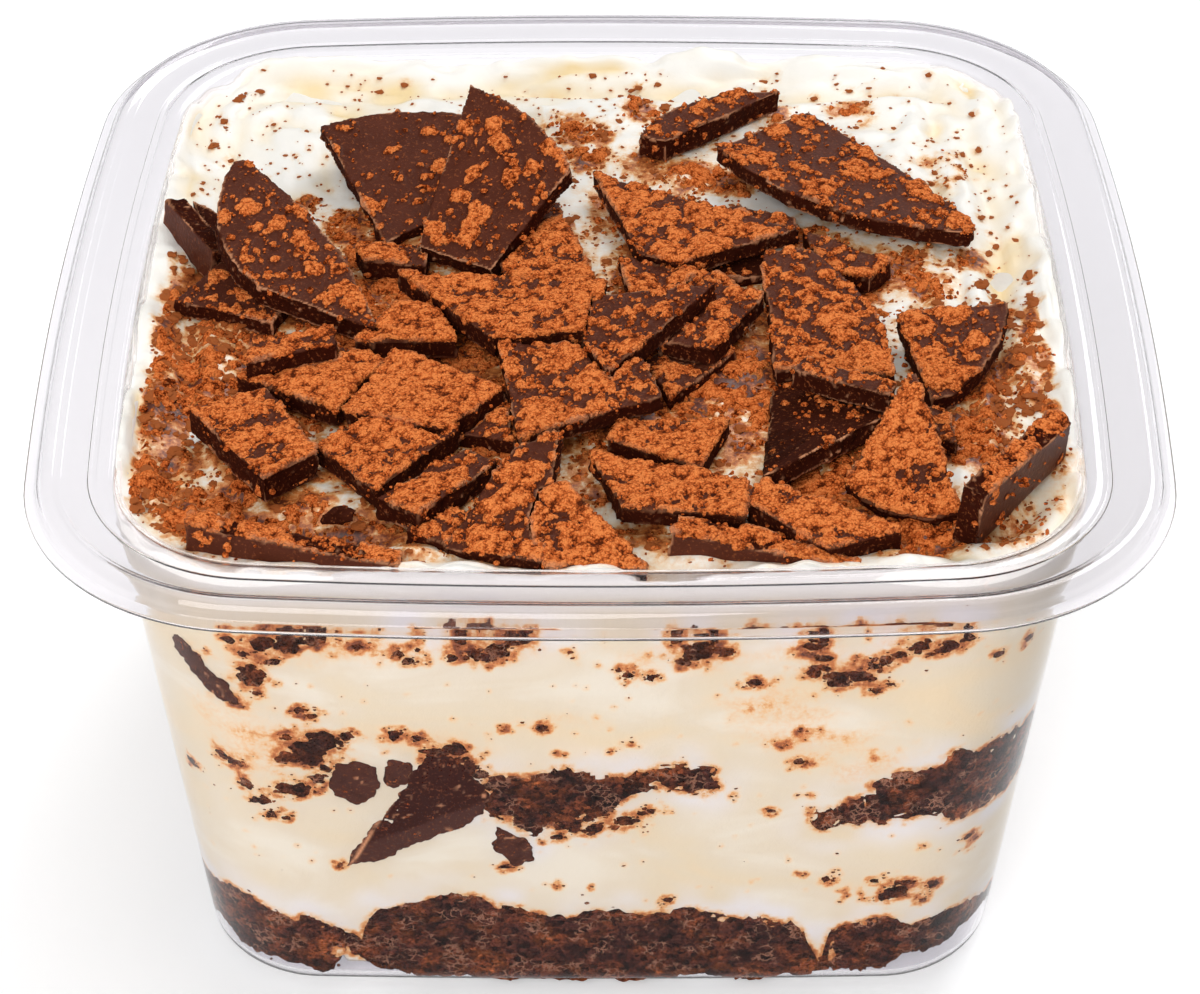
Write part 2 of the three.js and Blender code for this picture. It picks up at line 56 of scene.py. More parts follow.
# ------------------------------------------------------------------ the clear tub
# A square tub with rounded corners and slightly bowed sides, thermoformed from one thin sheet of clear
# plastic. Its wide flange carries a raised bead for the lid and ends in a turned-down lip.
MOUTH = 71.0
WALL = 0.65
FLOOR = 0.8
SIDE_BOW = 1300
RIM_HALF, RIM_CORNER, RIM_BOW = 65, 27.1, 573
SIDE_CUTS = 40
CORNER_CUTS = 20


def corner_middle(half, corner, bow):
    """Where the middle of a rounded corner lies in x and y, and the angle at which its arc meets the sides;
    corner and bow are the radii of the corners and of the sides."""
    b = 2 * (bow - half)
    c = (bow - half) ** 2 - (bow - corner) ** 2
    centre = (-b + np.sqrt(b * b - 8 * c)) / 4
    return centre, np.arctan2(centre, bow - half + centre)


def outline(half, corner, bow, side_cuts=SIDE_CUTS, corner_cuts=CORNER_CUTS):
    """Points of a rounded square, counterclockwise. side_cuts is one number, or one each for the back, right,
    front and left side."""
    centre, turn = corner_middle(half, corner, bow)
    bend = np.linspace(turn, math.pi / 2 - turn, corner_cuts + 1)[:-1]
    quarters = []
    for k in range(4):
        side = np.linspace(-turn, turn, np.broadcast_to(side_cuts, 4)[k] + 1)[:-1]
        quarter = np.concatenate([
            np.stack([bow * np.sin(side), half - bow + bow * np.cos(side)], 1),
            np.stack([centre + corner * np.sin(bend), centre + corner * np.cos(bend)], 1),
        ])
        cos, sin = math.cos(-k * math.pi / 2), math.sin(-k * math.pi / 2)
        quarters.append(quarter @ np.array([[cos, sin], [-sin, cos]]))
    return np.concatenate(quarters)[::-1]


def body_size(z):
    """Half width and corner radius of the tub's outer wall at the height z."""
    t = z / MOUTH
    return 47.9 + 6.8 * t, 14 + 2.9 * t


def raised(flat, z=0):
    """Points given as (x, y), raised to the height z."""
    return np.column_stack([flat, np.full(len(flat), z)])


def body_ring(z, offset, **cuts):
    half, corner = body_size(z)
    return raised(outline(half + offset, corner + offset, SIDE_BOW + offset, **cuts), z)


def rim_ring(half, z):
    inwards = RIM_HALF - half
    return raised(outline(half, RIM_CORNER - inwards, RIM_BOW - inwards), z)


def new_object(name, points, faces):
    """A mesh object at the origin from points in millimetres."""
    mesh = bpy.data.meshes.new(name)
    mesh.from_pydata((np.asarray(points, float) * MM).tolist(), [], faces)
    piece = bpy.data.objects.new(name, mesh)
    scene.collection.objects.link(piece)
    return piece


def ring_skin(name, rings):
    """Skin through rings of equal count, from the lowest outer one on; the ends are closed with a fan."""
    count, last = len(rings[0]), len(rings) - 1
    points = np.vstack([*rings, [(0, 0, rings[0][:, 2].mean()), (0, 0, rings[last][:, 2].mean())]])
    lower_middle, upper_middle = len(points) - 2, len(points) - 1
    faces = []
    for i in range(count):
        j = (i + 1) % count
        faces.extend((r + i, r + j, r + count + j, r + count + i) for r in range(0, last * count, count))
        faces.append((lower_middle, j, i))
        faces.append((upper_middle, last * count + i, last * count + j))
    return new_object(name, points, faces)


def floor_rounding(floor, offset, radius, steps):
    """Rings of the rounding between a flat floor and the wall, from the flat outwards and up."""
    rings = []
    for i in range(steps + 1):
        t = math.pi / 2 * i / steps
        rings.append(body_ring(floor + radius * (1 - math.cos(t)), offset - radius * (1 - math.sin(t))))
    return rings


def smooth_line(knots, steps):
    """A curve through the knots, steps points to a span."""
    knots = np.array(knots, float)
    padded = np.vstack([2 * knots[0] - knots[1], knots, 2 * knots[-1] - knots[-2]])
    line = []
    for k in range(1, len(padded) - 2):
        a, b, c, d = padded[k - 1:k + 3]
        for i in range(steps):
            t = i / steps
            line.append(0.5 * (2 * b + (c - a) * t + (2 * a - 5 * b + 4 * c - d) * t ** 2
                               + (3 * b - a - 3 * c + d) * t ** 3))
    line.append(knots[-1])
    return np.array(line)


# The middle of the sheet from the wall over the mouth, groove, flange and bead to the lip, as (half width,
# height, thickness). The sheet is drawn thinner where it bends outwards.
flange = smooth_line([
    (54.25, 68.6, 0.65), (54.42, 69.9, 0.6), (54.85, 70.55, 0.42), (55.6, 70.85, 0.32), (56.6, 70.88, 0.3),
    (57.0, 70.72, 0.3), (57.35, 70.60, 0.3), (57.7, 70.78, 0.3), (58.1, 70.92, 0.3), (60.4, 71.05, 0.3),
    (61.2, 71.4, 0.3), (61.9, 71.66, 0.3), (62.6, 71.5, 0.3), (63.1, 71.0, 0.3), (63.35, 70.35, 0.3),
    (63.6, 69.85, 0.3), (64.1, 69.62, 0.32), (64.85, 69.5, 0.35)], 4)
direction = np.gradient(flange[:, :2], axis=0)
direction /= np.linalg.norm(direction, axis=1)[:, None]
across = np.column_stack([direction[:, 1], -direction[:, 0]]) * flange[:, 2:] / 2
under, over = flange[:, :2] + across, flange[:, :2] - across
tub_rings = [
    *floor_rounding(0, 0, 3.7, 10),
    *[body_ring(z, 0) for z in np.linspace(6, 66, 11)],
    *[rim_ring(half, z) for half, z in under],
    *[rim_ring(half, z) for half, z in over[::-1]],
    *[body_ring(z, -WALL) for z in np.linspace(66, 6, 11)],
    *floor_rounding(FLOOR, -WALL, 3.05, 10)[::-1],
]
tub = ring_skin("tub_clear", tub_rings)
tub.data.shade_smooth()


def plain_material(name, base, roughness=0.5, **inputs):
    """A new material, its tree and its Principled node; inputs are set by name, with _ for a space."""
    material = bpy.data.materials.new(name)
    material.use_nodes = True
    tree = material.node_tree
    shader = tree.nodes["Principled BSDF"]
    shader.inputs["Base Color"].default_value = (*base, 1)
    shader.inputs["Roughness"].default_value = roughness
    for key, value in inputs.items():
        shader.inputs[key.replace("_", " ")].default_value = value
    return material, tree, shader


def feed(tree, socket, value):
    """Links an output to the socket, or sets the socket to a plain value."""
    if isinstance(value, bpy.types.NodeSocket):
        tree.links.new(value, socket)
    else:
        socket.default_value = value


def add(tree, kind, *values, out=0, **settings):
    """Adds a shader node and returns one of its outputs. Values given by place feed its inputs in their
    order; those given by name set its properties, or feed its inputs, with _ for a space."""
    made = tree.nodes.new("ShaderNode" + kind)
    for key, value in settings.items():
        if hasattr(made, key):
            setattr(made, key, value)
        else:
            feed(tree, made.inputs[key.replace("_", " ")], value)
    for socket, value in zip(made.inputs, values):
        feed(tree, socket, value)
    return made.outputs[out]


def clear_plastic(name, tint, sheen, bending):
    """Clear plastic of a faint cool tint; sheen scales how strongly its surface mirrors, and bending is its
    index of refraction."""
    material, tree, shader = plain_material(
        name, tint, 0.03, Transmission_Weight=1, IOR=bending, Specular_Tint=(sheen, sheen, sheen, 1))
    in_shadow = add(tree, "LightPath", out="Is Shadow Ray")
    see_through = add(tree, "BsdfTransparent", Color=(0.95, 0.95, 0.96, 1))
    light_passes = add(tree, "MixShader", in_shadow, shader.outputs[0], see_through)
    feed(tree, tree.nodes["Material Output"].inputs["Surface"], light_passes)
    return material


tub.data.materials.append(clear_plastic("clear_wall", (0.865, 0.85, 0.878), 0.02, 1.45))
tub.data.materials.append(clear_plastic("clear_flange", (0.80, 0.783, 0.81), 1.5, 1.33))
FLANGE_FOOT = 69.9
for face in tub.data.polygons:
    face.material_index = int(face.center.z > FLANGE_FOOT * MM)
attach(tub, "root")
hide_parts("tub")

# ------------------------------------------------------------------ the sponge
# Moist dark chocolate sponge, torn into pieces and pressed against the wall. Each piece is swollen from its
# CAD solid, roughened all over, and flattened where it touches the plastic, with pits where it doesn't.


def grain(points, size, seed):
    """Smooth random values from -1 to 1 that change over the length size; the same for the same seed."""
    table = np.random.RandomState(seed).uniform(-1, 1, (32, 32, 32))
    q = np.asarray(points, float) / size
    low = np.floor(q).astype(int)
    t = q - low
    t = t * t * (3 - 2 * t)
    total = np.zeros(len(q))
    for corner in range(8):
        step = np.array([corner & 1, corner >> 1 & 1, corner >> 2])
        weight = np.prod(np.where(step, t, 1 - t), axis=1)
        i, j, k = ((low + step) % 32).T
        total += weight * table[i, j, k]
    return total


def from_wall(points):
    """How far points lie beyond the tub's inner wall (negative inside), and the outward direction there."""
    half, corner = body_size(points[:, 2])
    half, corner, bow = half - WALL, corner - WALL, SIDE_BOW - WALL
    centre, turn = corner_middle(half, corner, bow)
    x, y = np.abs(points[:, 0]), np.abs(points[:, 1])
    u, v = x - centre, y - centre
    angle = np.arctan2(u, v)
    cornered = (u > 0) & (v > 0) & (angle > turn) & (angle < math.pi / 2 - turn)
    facing_y = (y >= x) & ~cornered
    out = np.stack([np.where(facing_y, x, x + bow - half), np.where(facing_y, y + bow - half, y)], 1)
    out = np.where(cornered[:, None], np.stack([u, v], 1), out)
    length = np.linalg.norm(out, axis=1)
    beyond = length - np.where(cornered, corner, bow)
    out = out / length[:, None] * np.sign(points[:, :2] + 1e-9)
    return beyond, out


def vertices(piece):
    flat = np.zeros(len(piece.data.vertices) * 3)
    piece.data.vertices.foreach_get("co", flat)
    return flat.reshape(-1, 3) / MM


def set_vertices(piece, points):
    piece.data.vertices.foreach_set("co", (points * MM).ravel())
    piece.data.update()


def normals(piece):
    flat = np.zeros(len(piece.data.vertices) * 3)
    piece.data.vertices.foreach_get("normal", flat)
    return flat.reshape(-1, 3)


def only(piece):
    """Selects this piece alone, so that operators act on nothing else."""
    bpy.ops.object.select_all(action="DESELECT")
    piece.select_set(True)
    bpy.context.view_layer.objects.active = piece


def copy_of(node, name):
    """A free copy of a CAD node with its loose triangles merged into one skin."""
    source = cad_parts[node]
    piece = bpy.data.objects.new(name, source.data.copy())
    scene.collection.objects.link(piece)
    piece.data.materials.clear()
    only(piece)
    bpy.ops.object.mode_set(mode="EDIT")
    bpy.ops.mesh.select_all(action="SELECT")
    bpy.ops.mesh.remove_doubles(threshold=1e-6)
    bpy.ops.object.mode_set(mode="OBJECT")
    return piece


def remesh(piece, size):
    only(piece)
    piece.data.remesh_voxel_size = size * MM
    piece.data.remesh_voxel_adaptivity = 0
    bpy.ops.object.voxel_remesh()


def carry(piece, **layers):
    """Gives every vertex named numbers, which the material reads."""
    for name, values in layers.items():
        made = piece.data.attributes.new(name, "FLOAT", "POINT")
        made.data.foreach_set("value", np.full(len(piece.data.vertices), values, np.float32))


def dress(piece, material):
    """Gives the piece its material and shades it smooth."""
    piece.data.materials.append(material)
    piece.data.shade_smooth()


def smoothstep(low, high, x):
    t = np.clip((x - low) / (high - low), 0, 1)
    return t * t * (3 - 2 * t)


def domes(points, size, seed):
    """Rounded bumps from 0 to 1, one round each of many scattered middles about size apart."""
    table = np.random.RandomState(seed).uniform(0, 1, (32, 32, 32, 3))
    q = np.asarray(points, float) / size
    low = np.floor(q).astype(int)
    nearest = np.full(len(q), 9.0)
    for corner in np.ndindex(3, 3, 3):
        cell = low + np.array(corner) - 1
        i, j, k = (cell % 32).T
        nearest = np.minimum(nearest, ((q - cell - table[i, j, k]) ** 2).sum(1))
    return np.sqrt(np.clip(1 - 1.5 * nearest, 0, 1))


def layer(tree, name):
    """The number that a mesh carries at each vertex under this name."""
    return add(tree, "Attribute", out="Fac", attribute_name=name)


def noise(tree, place, scale, **settings):
    return add(tree, "TexNoise", Vector=place, Scale=scale, **settings)


def span(tree, value, low, high, to_low=0, to_high=1, kind="LINEAR"):
    """Value taken from between low and high to between to_low and to_high."""
    return add(tree, "MapRange", interpolation_type=kind, Value=value, From_Min=low, From_Max=high,
               To_Min=to_low, To_Max=to_high)


def times(tree, a, b):
    return add(tree, "Math", a, b, operation="MULTIPLY")


def times_plus(tree, a, factor, b):
    return add(tree, "Math", a, factor, b, operation="MULTIPLY_ADD")


def blend(tree, share, a, b, kind="MIX"):
    """Colour a gone over to colour b by share."""
    return add(tree, "Mix", out="Result", data_type="RGBA", blend_type=kind, Factor=share, A=a, B=b)


def ramp(tree, share, *stops):
    """A colour that follows share through the stops, each a place and a red, green and blue."""
    colour = add(tree, "ValToRGB", share)
    bar = colour.node.color_ramp.elements
    for stop, (place, tone) in zip((bar[0], bar[1]), (stops[0], stops[-1])):
        stop.position, stop.color = place, (*tone, 1)
    for place, tone in stops[1:-1]:
        bar.new(place).color = (*tone, 1)
    return colour


def surface(tree, shader, tone, relief, strength, depth):
    """Gives the shader its colour, and a bump of this depth in metres."""
    feed(tree, shader.inputs["Base Color"], tone)
    feed(tree, shader.inputs["Normal"], add(tree, "Bump", Strength=strength, Distance=depth, Height=relief))


# Crumb patches of uneven tone, with painted light and shade on each cell and grain, pale curly lines where
# the crumb was torn, an orange rim where cream has soaked in, and near-black pits of painted shade.
sponge_material, tree, shader = plain_material(
    "sponge", (0.05, 0.016, 0.010), 0.75, Specular_IOR_Level=0.05)
coords = add(tree, "TexCoord", out="Object")
wobble = noise(tree, coords, 1100, Detail=3, Roughness=0.6).node.outputs["Color"]
bent = blend(tree, 0.0016, coords, wobble, "ADD")
crumb_cells = add(tree, "TexVoronoi", Vector=bent, Scale=1350, Randomness=1)
torn_lines = add(tree, "TexVoronoi", feature="DISTANCE_TO_EDGE", Vector=bent, Scale=850, Randomness=1)
patches = noise(tree, bent, 230, Detail=4, Roughness=0.62)
line_patches = noise(tree, coords, 330, Detail=2, Roughness=0.5)
powdery = noise(tree, coords, 2600, Detail=3, Roughness=0.65)
cell_light = span(tree, add(tree, "SeparateColor", crumb_cells.node.outputs["Color"]), 0, 1, 0.25, 2.35)
powder_light = span(tree, powdery, 0.3, 0.7, 0.28, 2.05)
tone = ramp(tree, patches, (0.34, (0.030, 0.0085, 0.0065)), (0.45, (0.055, 0.0155, 0.0110)),
            (0.53, (0.085, 0.0215, 0.0110)), (0.61, (0.150, 0.0370, 0.0130)), (0.70, (0.27, 0.074, 0.022)))
# Painted light and shade on each crumb cell and powdery grain.
tone = blend(tree, 1, tone, times(tree, cell_light, powder_light), "MULTIPLY")
where_torn = span(tree, line_patches, 0.50, 0.60, kind="SMOOTHSTEP")
line_share = times(tree, span(tree, torn_lines, 0.03, 0.10, 1, 0), where_torn)
tone = blend(tree, line_share, tone, (0.50, 0.23, 0.14, 1))
tone = blend(tree, times(tree, layer(tree, "rim"), powder_light), tone, (0.30, 0.075, 0.018, 1))
# Near-black painted shade in the pits.
tone = blend(tree, layer(tree, "pit"), tone, (0.008, 0.0020, 0.0014, 1))
relief = add(tree, "Math", powdery, crumb_cells, operation="SUBTRACT")
surface(tree, shader, tone, relief, 1, 0.0007)


def lower_line(x):
    """Height of the lower side of the bottom sponge at the front wall; the corners under it are empty."""
    return np.interp(
        x, [-48, -46, -42.4, -37.9, -33.8, -31.9, -30, -24, -18, 24, 30, 33.7, 36.5, 40.3, 42.3, 46, 49],
        [10.5, 8.5, 5.1, 4.7, 3.5, 4.0, 6.5, 3.4, 1, 1, 3.5, 3.7, 6.6, 5.4, 7.6, 8.4, 9])


def upper_line(x):
    """Height of the upper side of the bottom sponge at the front wall."""
    return np.interp(
        x, [-49, -46, -40.7, -36.2, -32.4, -29.6, -28.3, -27.7, -26, -21.2, -18.2, -15.3, -12.9, -10.6, -8.3,
            -4.7, -1.2, 2.4, 5.9, 9.4, 11.8, 14.1, 17.7, 21.2, 23.7, 25.2, 26.4, 27.1, 29.1, 34.4, 36.9, 40.4,
            43, 46.6, 49],
        [11.5, 13.5, 16.4, 13.9, 11.6, 10, 8.2, 12.1, 13.9, 16, 17.1, 17.5, 17.4, 15.8, 14, 12.9, 13.8,
         14.4, 13.4, 15.1, 16, 15.6, 15.1, 14.6, 11, 6.5, 3.5, 9.5, 11.8, 12.6, 10.8, 12, 11.9, 9.5, 8.8])


def finder_of(places):
    """A search tree over the places."""
    finder = kdtree.KDTree(len(places))
    for i, place in enumerate(places):
        finder.insert(place, i)
    finder.balance()
    return finder


def thin_hidden(piece, hidden):
    """Merges small faces where hidden is true, on sides that nothing shows."""
    group = piece.vertex_groups.new(name="hidden")
    group.add(np.nonzero(hidden)[0].tolist(), 1.0, "REPLACE")
    thin = piece.modifiers.new("thin", "DECIMATE")
    thin.vertex_group = "hidden"
    thin.ratio = 1 - 0.85 * float(hidden.mean())
    only(piece)
    bpy.ops.object.modifier_apply(modifier="thin")


# Each piece with the size of its mesh, how readily cream has crept over it at the wall, the height below
# which cream covers it, and how dark it is.
sponges = [
    ("sponge_bottom_left", 0.42, -0.14, 0, 1.0), ("sponge_bottom_middle", 0.42, -0.8, 0, 1.0),
    ("sponge_bottom_right", 0.42, -0.8, 0, 0.9), ("sponge_middle_left", 0.36, -0.8, 0, 1.3),
    ("sponge_middle_right", 0.40, -0.5, 0, 0.85), ("sponge_upper_left", 0.6, 2, 60.6, 1.0),
    ("sponge_upper_right", 0.6, 2, 60.6, 1.0)]
COARSE_CELL = 0.6
PRESSED = 0.10
HIDDEN_DEPTH = 4.5
SPONGE_FOOT = 0.85
sponge_skin = []
for node_name, cell, creep, sunk_below, dark in sponges:
    # The solid swells and shrinks in soft lumps. edge_finder holds the edge of its side at the wall.
    piece = copy_of(node_name, node_name.replace("sponge", "torn_sponge"))
    remesh(piece, COARSE_CELL)
    p = vertices(piece)
    beyond, out = from_wall(p)
    edge_finder = finder_of(p[(beyond > -5) & ((normals(piece)[:, :2] * out).sum(1) < 0.5)])
    p += normals(piece) * (1.1 * grain(p, 4.2, 1) + 0.9 * grain(p, 2.0, 2))[:, None]
    set_vertices(piece, p)
    remesh(piece, cell)
    # Round crumbs stand out all over it, and lean this way and that.
    p = vertices(piece)
    facing = (normals(piece)[:, :2] * from_wall(p)[1]).sum(1)
    p = p + 0.35 * np.stack([grain(p, 1.2, seed) for seed in (4, 5, 6)], 1)
    p += normals(piece) * (0.75 * domes(p, 1.6, 9) + 0.4 * domes(p, 0.75, 11) - 0.5)[:, None]
    # At the front wall the bottom layer keeps between its own two lines.
    if "bottom" in node_name:
        at_front = smoothstep(-30, -41, p[:, 1])
        rough = 0.7 * grain(p, 1.6, 12) + 0.8 * domes(p, 1.3, 14) + 0.5 * grain(p, 0.7, 13) - 0.4
        p[:, 2] += at_front * np.maximum(lower_line(p[:, 0]) + rough - p[:, 2], 0)
        p[:, 2] -= at_front * np.maximum(p[:, 2] - upper_line(p[:, 0]) - rough, 0)
    # near is 1 on what lies against the wall, and runs out in tatters towards the edge of that side.
    beyond, out = from_wall(p)
    tatter = (0.75 * grain(p, 1.5, 31) + 0.65 * grain(p, 0.75, 32)) * smoothstep(0.97, 0.75, facing)
    from_edge = np.zeros(len(p))
    for i in np.nonzero((beyond > -HIDDEN_DEPTH) & (facing > -0.2))[0]:
        from_edge[i] = edge_finder.find(p[i])[2]
    inner = smoothstep(1.3, 2.3, from_edge)
    near = smoothstep(-1.7 - 2.8 * inner, -0.9 - 2.6 * inner, beyond)
    near *= smoothstep(0.40, 0.50, np.maximum(facing + tatter, 1.2 * inner))
    # Cream has crept in pockets between the sponge and the wall.
    under_cream = 0.62 * grain(p, 3.4, 20) + 0.5 * grain(p, 1.5, 22) + 0.35 * grain(p, 0.8, 23)
    under_cream += 2.2 * creep
    pockets = smoothstep(0.62, 0.78, under_cream)
    if sunk_below:
        pockets = smoothstep(sunk_below + 0.4, sunk_below - 0.4, p[:, 2] + 1.2 * grain(p, 2.5, 24))
    lumps = np.maximum(domes(p, 1.9, 7), 0.85 * domes(p, 0.95, 8))
    pits = np.clip(0.95 - 1.35 * lumps, 0, 1) * (0.45 + 0.55 * smoothstep(0.2, -0.2, grain(p, 3.2, 10)))
    # It is pressed flat on the wall but for the pockets, and nothing of it stands through the wall.
    p[:, :2] += out * (near * (PRESSED - 0.9 * pockets - beyond))[:, None]
    proud, out = from_wall(p)
    p[:, :2] -= out * np.maximum(proud - PRESSED + 0.7 * (1 - near), 0)[:, None]
    p[:, 2] = np.maximum(p[:, 2], SPONGE_FOOT)
    set_vertices(piece, p)
    frayed = np.maximum(smoothstep(0.25, 0.7, under_cream), smoothstep(0.85, 0.45, facing + 0.5 * tatter))
    # pit paints near-black shade into the pits between the lumps where the sponge lies on the wall.
    carry(piece, pit=np.clip(near * pits * 1.6 * dark + 0.5 * (dark - 1), 0, 1),
          rim=np.clip(frayed * near * 0.45, 0, 1))
    sponge_skin.extend(p[(beyond > -0.9) & (pockets < 0.5)])
    thin_hidden(piece, beyond < -HIDDEN_DEPTH)
    dress(piece, sponge_material)
    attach(piece, "root")
    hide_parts(node_name)

# ------------------------------------------------------------------ the cream
# Whipped cream filled in round the sponge and struck off with a spatula, which leaves a raised bank at the
# walls, a wavy groove inside it and long soft ridges.


def cream_top(flat):
    """Height of the cream and how hollow it is there, at points given as (x, y)."""
    beyond, out = from_wall(raised(flat, CREAM_EDGE))
    inwards = np.maximum(-beyond, 0)
    wall_foot = flat + out * inwards[:, None]
    along = raised(wall_foot)
    x, y = flat.T
    still = raised(flat)
    swept = np.column_stack([wall_foot * 0.3, inwards + 1.6 * grain(along, 13, 18)])
    bank = 1.2 * np.exp(-((inwards / 3) ** 2)) * (1 + 0.9 * grain(along, 7, 15))
    wander = 1.6 * grain(along, 20, 11)
    groove = 0.9 * np.exp(-(((inwards - 5.8 - wander) / 1.7) ** 2)) * (1 + 0.6 * grain(along, 24, 10))
    waves = 0.3 * np.sin(0.13 * x + 0.6) * np.cos(0.1 * y + 1.1) + 0.15 * np.sin(0.31 * x + 0.2 * y)
    reach = smoothstep(26, 8, inwards) * smoothstep(0, 1.2, inwards)
    crease = (1 - np.abs(grain(swept, 4.4, 12))) ** 5 * smoothstep(-0.4, 0.3, grain(still, 10, 19)) * reach
    ridges = (0.9 * grain(swept, 3.0, 13) + 0.55 * grain(swept, 1.2, 14)) * reach - 1.2 * crease
    ridges += 0.2 * grain(still, 3.3, 14) + 0.12 * grain(still, 1.3, 16)
    rag = 0.6 * smoothstep(2.2, 0, inwards) * grain(along, 2.2, 17)
    return CREAM_LEVEL + bank - groove + waves + ridges + rag, groove + 1.3 * crease - 0.5 * ridges


CREAM_FOOT = 5
CREAM_LEVEL = 68.8
CREAM_EDGE = 69.3
EMBED = 0.06 - WALL
CREAM_CUTS = {"side_cuts": (60, 60, 230, 60), "corner_cuts": 26}

# Crumbs of sponge that lie in the cream against the wall, as (way along the wall from the middle of the
# front, height, radius).
main_crumbs = [
    (-38.3, 53.8, 1.9), (-37, 58.5, 1.4), (-34, 59, 1.7), (-31.2, 59.5, 1.4), (-39, 57, 0.8),
    (-36, 56, 0.9), (-40.5, 59, 0.9), (-33, 41.8, 2.5), (-31, 43.9, 1.5), (-28.4, 44.4, 1),
    (-35.2, 44, 0.9), (-33.5, 48.4, 0.9), (-32, 47.5, 0.7), (-23, 44.6, 1.1), (-20.6, 44.1, 0.8),
    (-16.3, 42.3, 1.4), (-18.3, 41.2, 1.6), (-43, 39.5, 0.9), (-41.6, 38.9, 1), (-40, 35.5, 1.2),
    (-38.5, 33, 1.3), (-36, 35.6, 1.2), (-34, 35.2, 1.5), (-32, 37.2, 1.1), (-31, 39, 0.9),
    (-37.6, 31, 0.9), (-36, 30.4, 0.6), (-48, 35, 1.1), (-26.5, 58.5, 0.8), (-22, 57.6, 0.8),
    (-21, 56.4, 0.8), (-25, 59.2, 0.4), (-20, 58.2, 0.5), (-16, 57, 0.9), (-13.6, 57.6, 1.3),
    (-11.2, 58, 1.6), (-9.6, 59.4, 1), (-8, 59.8, 0.8), (-15, 59.6, 0.8), (-3.2, 58, 0.5), (3, 54.4, 0.9),
    (5.6, 54, 0.9), (2, 55.2, 0.5), (8.4, 59.8, 0.9), (10.6, 58, 1.7), (9, 56.4, 1), (13.6, 58, 1.1),
    (12.4, 60, 0.8), (17, 53.1, 1), (15.8, 52.4, 0.4), (23, 58.6, 1.4), (24.5, 56.8, 0.9),
    (23.5, 54.6, 1.3), (26, 53.5, 1.6), (28.6, 53.9, 1.4), (30, 55.4, 1), (31.2, 56.2, 1.2),
    (32.6, 57.2, 1), (35, 58.5, 1.2), (38, 58.5, 1.4), (40, 59.6, 1), (36.2, 57.2, 0.6),
    (30.5, 51.6, 0.7), (32, 52.6, 0.6), (44, 55.5, 0.7), (48, 56, 0.9), (-6.5, 45.9, 0.9),
    (-10.5, 46.1, 0.3), (22.4, 45.6, 0.5), (21, 43, 0.4), (22.5, 40.2, 0.8), (1, 42, 0.4),
    (3.5, 43.6, 0.4), (-4, 41.4, 0.3), (22.5, 34.6, 0.4), (19.5, 32, 0.6), (15, 34.5, 0.3),
    (24, 32.5, 0.4), (24, 21, 0.4), (26.4, 20, 0.8), (27.2, 21.2, 0.4), (32, 19.6, 0.6),
    (34.5, 17.5, 1.6), (35.6, 19.2, 1.1), (33, 16.6, 0.9), (39, 18, 0.9), (38, 15.6, 0.6), (43, 25, 0.8),
    (44.2, 23.8, 0.5), (37.5, 25.4, 0.4), (29, 17, 0.4), (-5, 19, 0.35), (-1, 19, 0.3), (8, 16.6, 0.6),
    (7.4, 15.8, 0.4), (-11, 22.4, 0.8), (-30.2, 22.4, 0.6), (-3, 28.9, 0.8), (-4.8, 27.7, 0.9),
    (1.7, 29.2, 0.7), (2.8, 30.6, 1.2), (0.3, 31.8, 1), (4.8, 31.8, 0.9), (5.8, 32.1, 0.6),
    (-0.7, 29.2, 1.1), (5.1, 29.4, 0.4), (-16.1, 40.4, 1.3), (-14.7, 39, 1.4), (-13.4, 38.1, 1.1),
    (-12.7, 36.3, 1), (-15.4, 37.8, 1.3), (-32.8, 40.6, 1.5), (-30.3, 43.1, 1.3), (-42.6, 51, 0.8),
    (-40.5, 49, 0.6), (-44.5, 55, 0.7), (-38, 51, 0.7)]
chance = random.Random(5)
for k in range(30):
    s = chance.choice((-1, 1)) * chance.uniform(56, 205)
    z, spread = chance.uniform(20, 60), chance.uniform(1.5, 4)
    for n in range(chance.randint(3, 9)):
        main_crumbs.append((s + chance.gauss(0, spread), min(z + chance.gauss(0, spread / 2), 61),
                            chance.uniform(0.3, 1) ** 2 * 1.7))
crumb_spots = []
for s, z, r in main_crumbs:
    lean, length = chance.uniform(-0.5, 0.9), chance.uniform(0.9, 1.5)
    cos, sin = math.cos(lean), math.sin(lean)
    crumb_spots.append((s, z, 0.86 * r))
    for k in range(int(2 + 7 * r) if r > 0.5 else 1):
        turn, far = chance.uniform(0, 6.283), r * math.sqrt(chance.uniform(0.05, 1))
        u, v = far * length * math.cos(turn), 0.6 * far * math.sin(turn)
        crumb_spots.append(
            (s + u * cos - v * sin, z + u * sin + v * cos, max(0.2, r * chance.uniform(0.2, 0.5))))
    for k in range(int(3 + 4 * r)):
        turn, far = chance.uniform(0, 6.283), 1.1 * r + chance.expovariate(1.0)
        crumb_spots.append(
            (s + far * math.cos(turn), z + 0.7 * far * math.sin(turn), chance.uniform(0.08, 0.3)))
for k in range(170):
    crumb_spots.append((chance.uniform(-48, 48), chance.uniform(18, 60), chance.uniform(0.06, 0.2)))


def on_wall(s, z, beyond):
    """The point at the way s along the wall from the middle of the front, at the height z, and this far
    beyond the wall."""
    ring = body_ring(z, beyond - WALL, side_cuts=20, corner_cuts=10)
    start = int(np.argmin(np.abs(ring[:, 0]) + ring[:, 1] * 5))
    ring = np.roll(ring, -start, axis=0)
    ring = np.vstack([ring, ring[:1]])
    lengths = np.concatenate([[0], np.cumsum(np.linalg.norm(np.diff(ring, axis=0), axis=1))])
    return np.array([np.interp(s % lengths[-1], lengths, ring[:, i]) for i in range(3)])


crumb_centres = np.array([on_wall(s, z, -0.3 * r) for s, z, r in crumb_spots])
crumb_radii = np.array([r for s, z, r in crumb_spots])

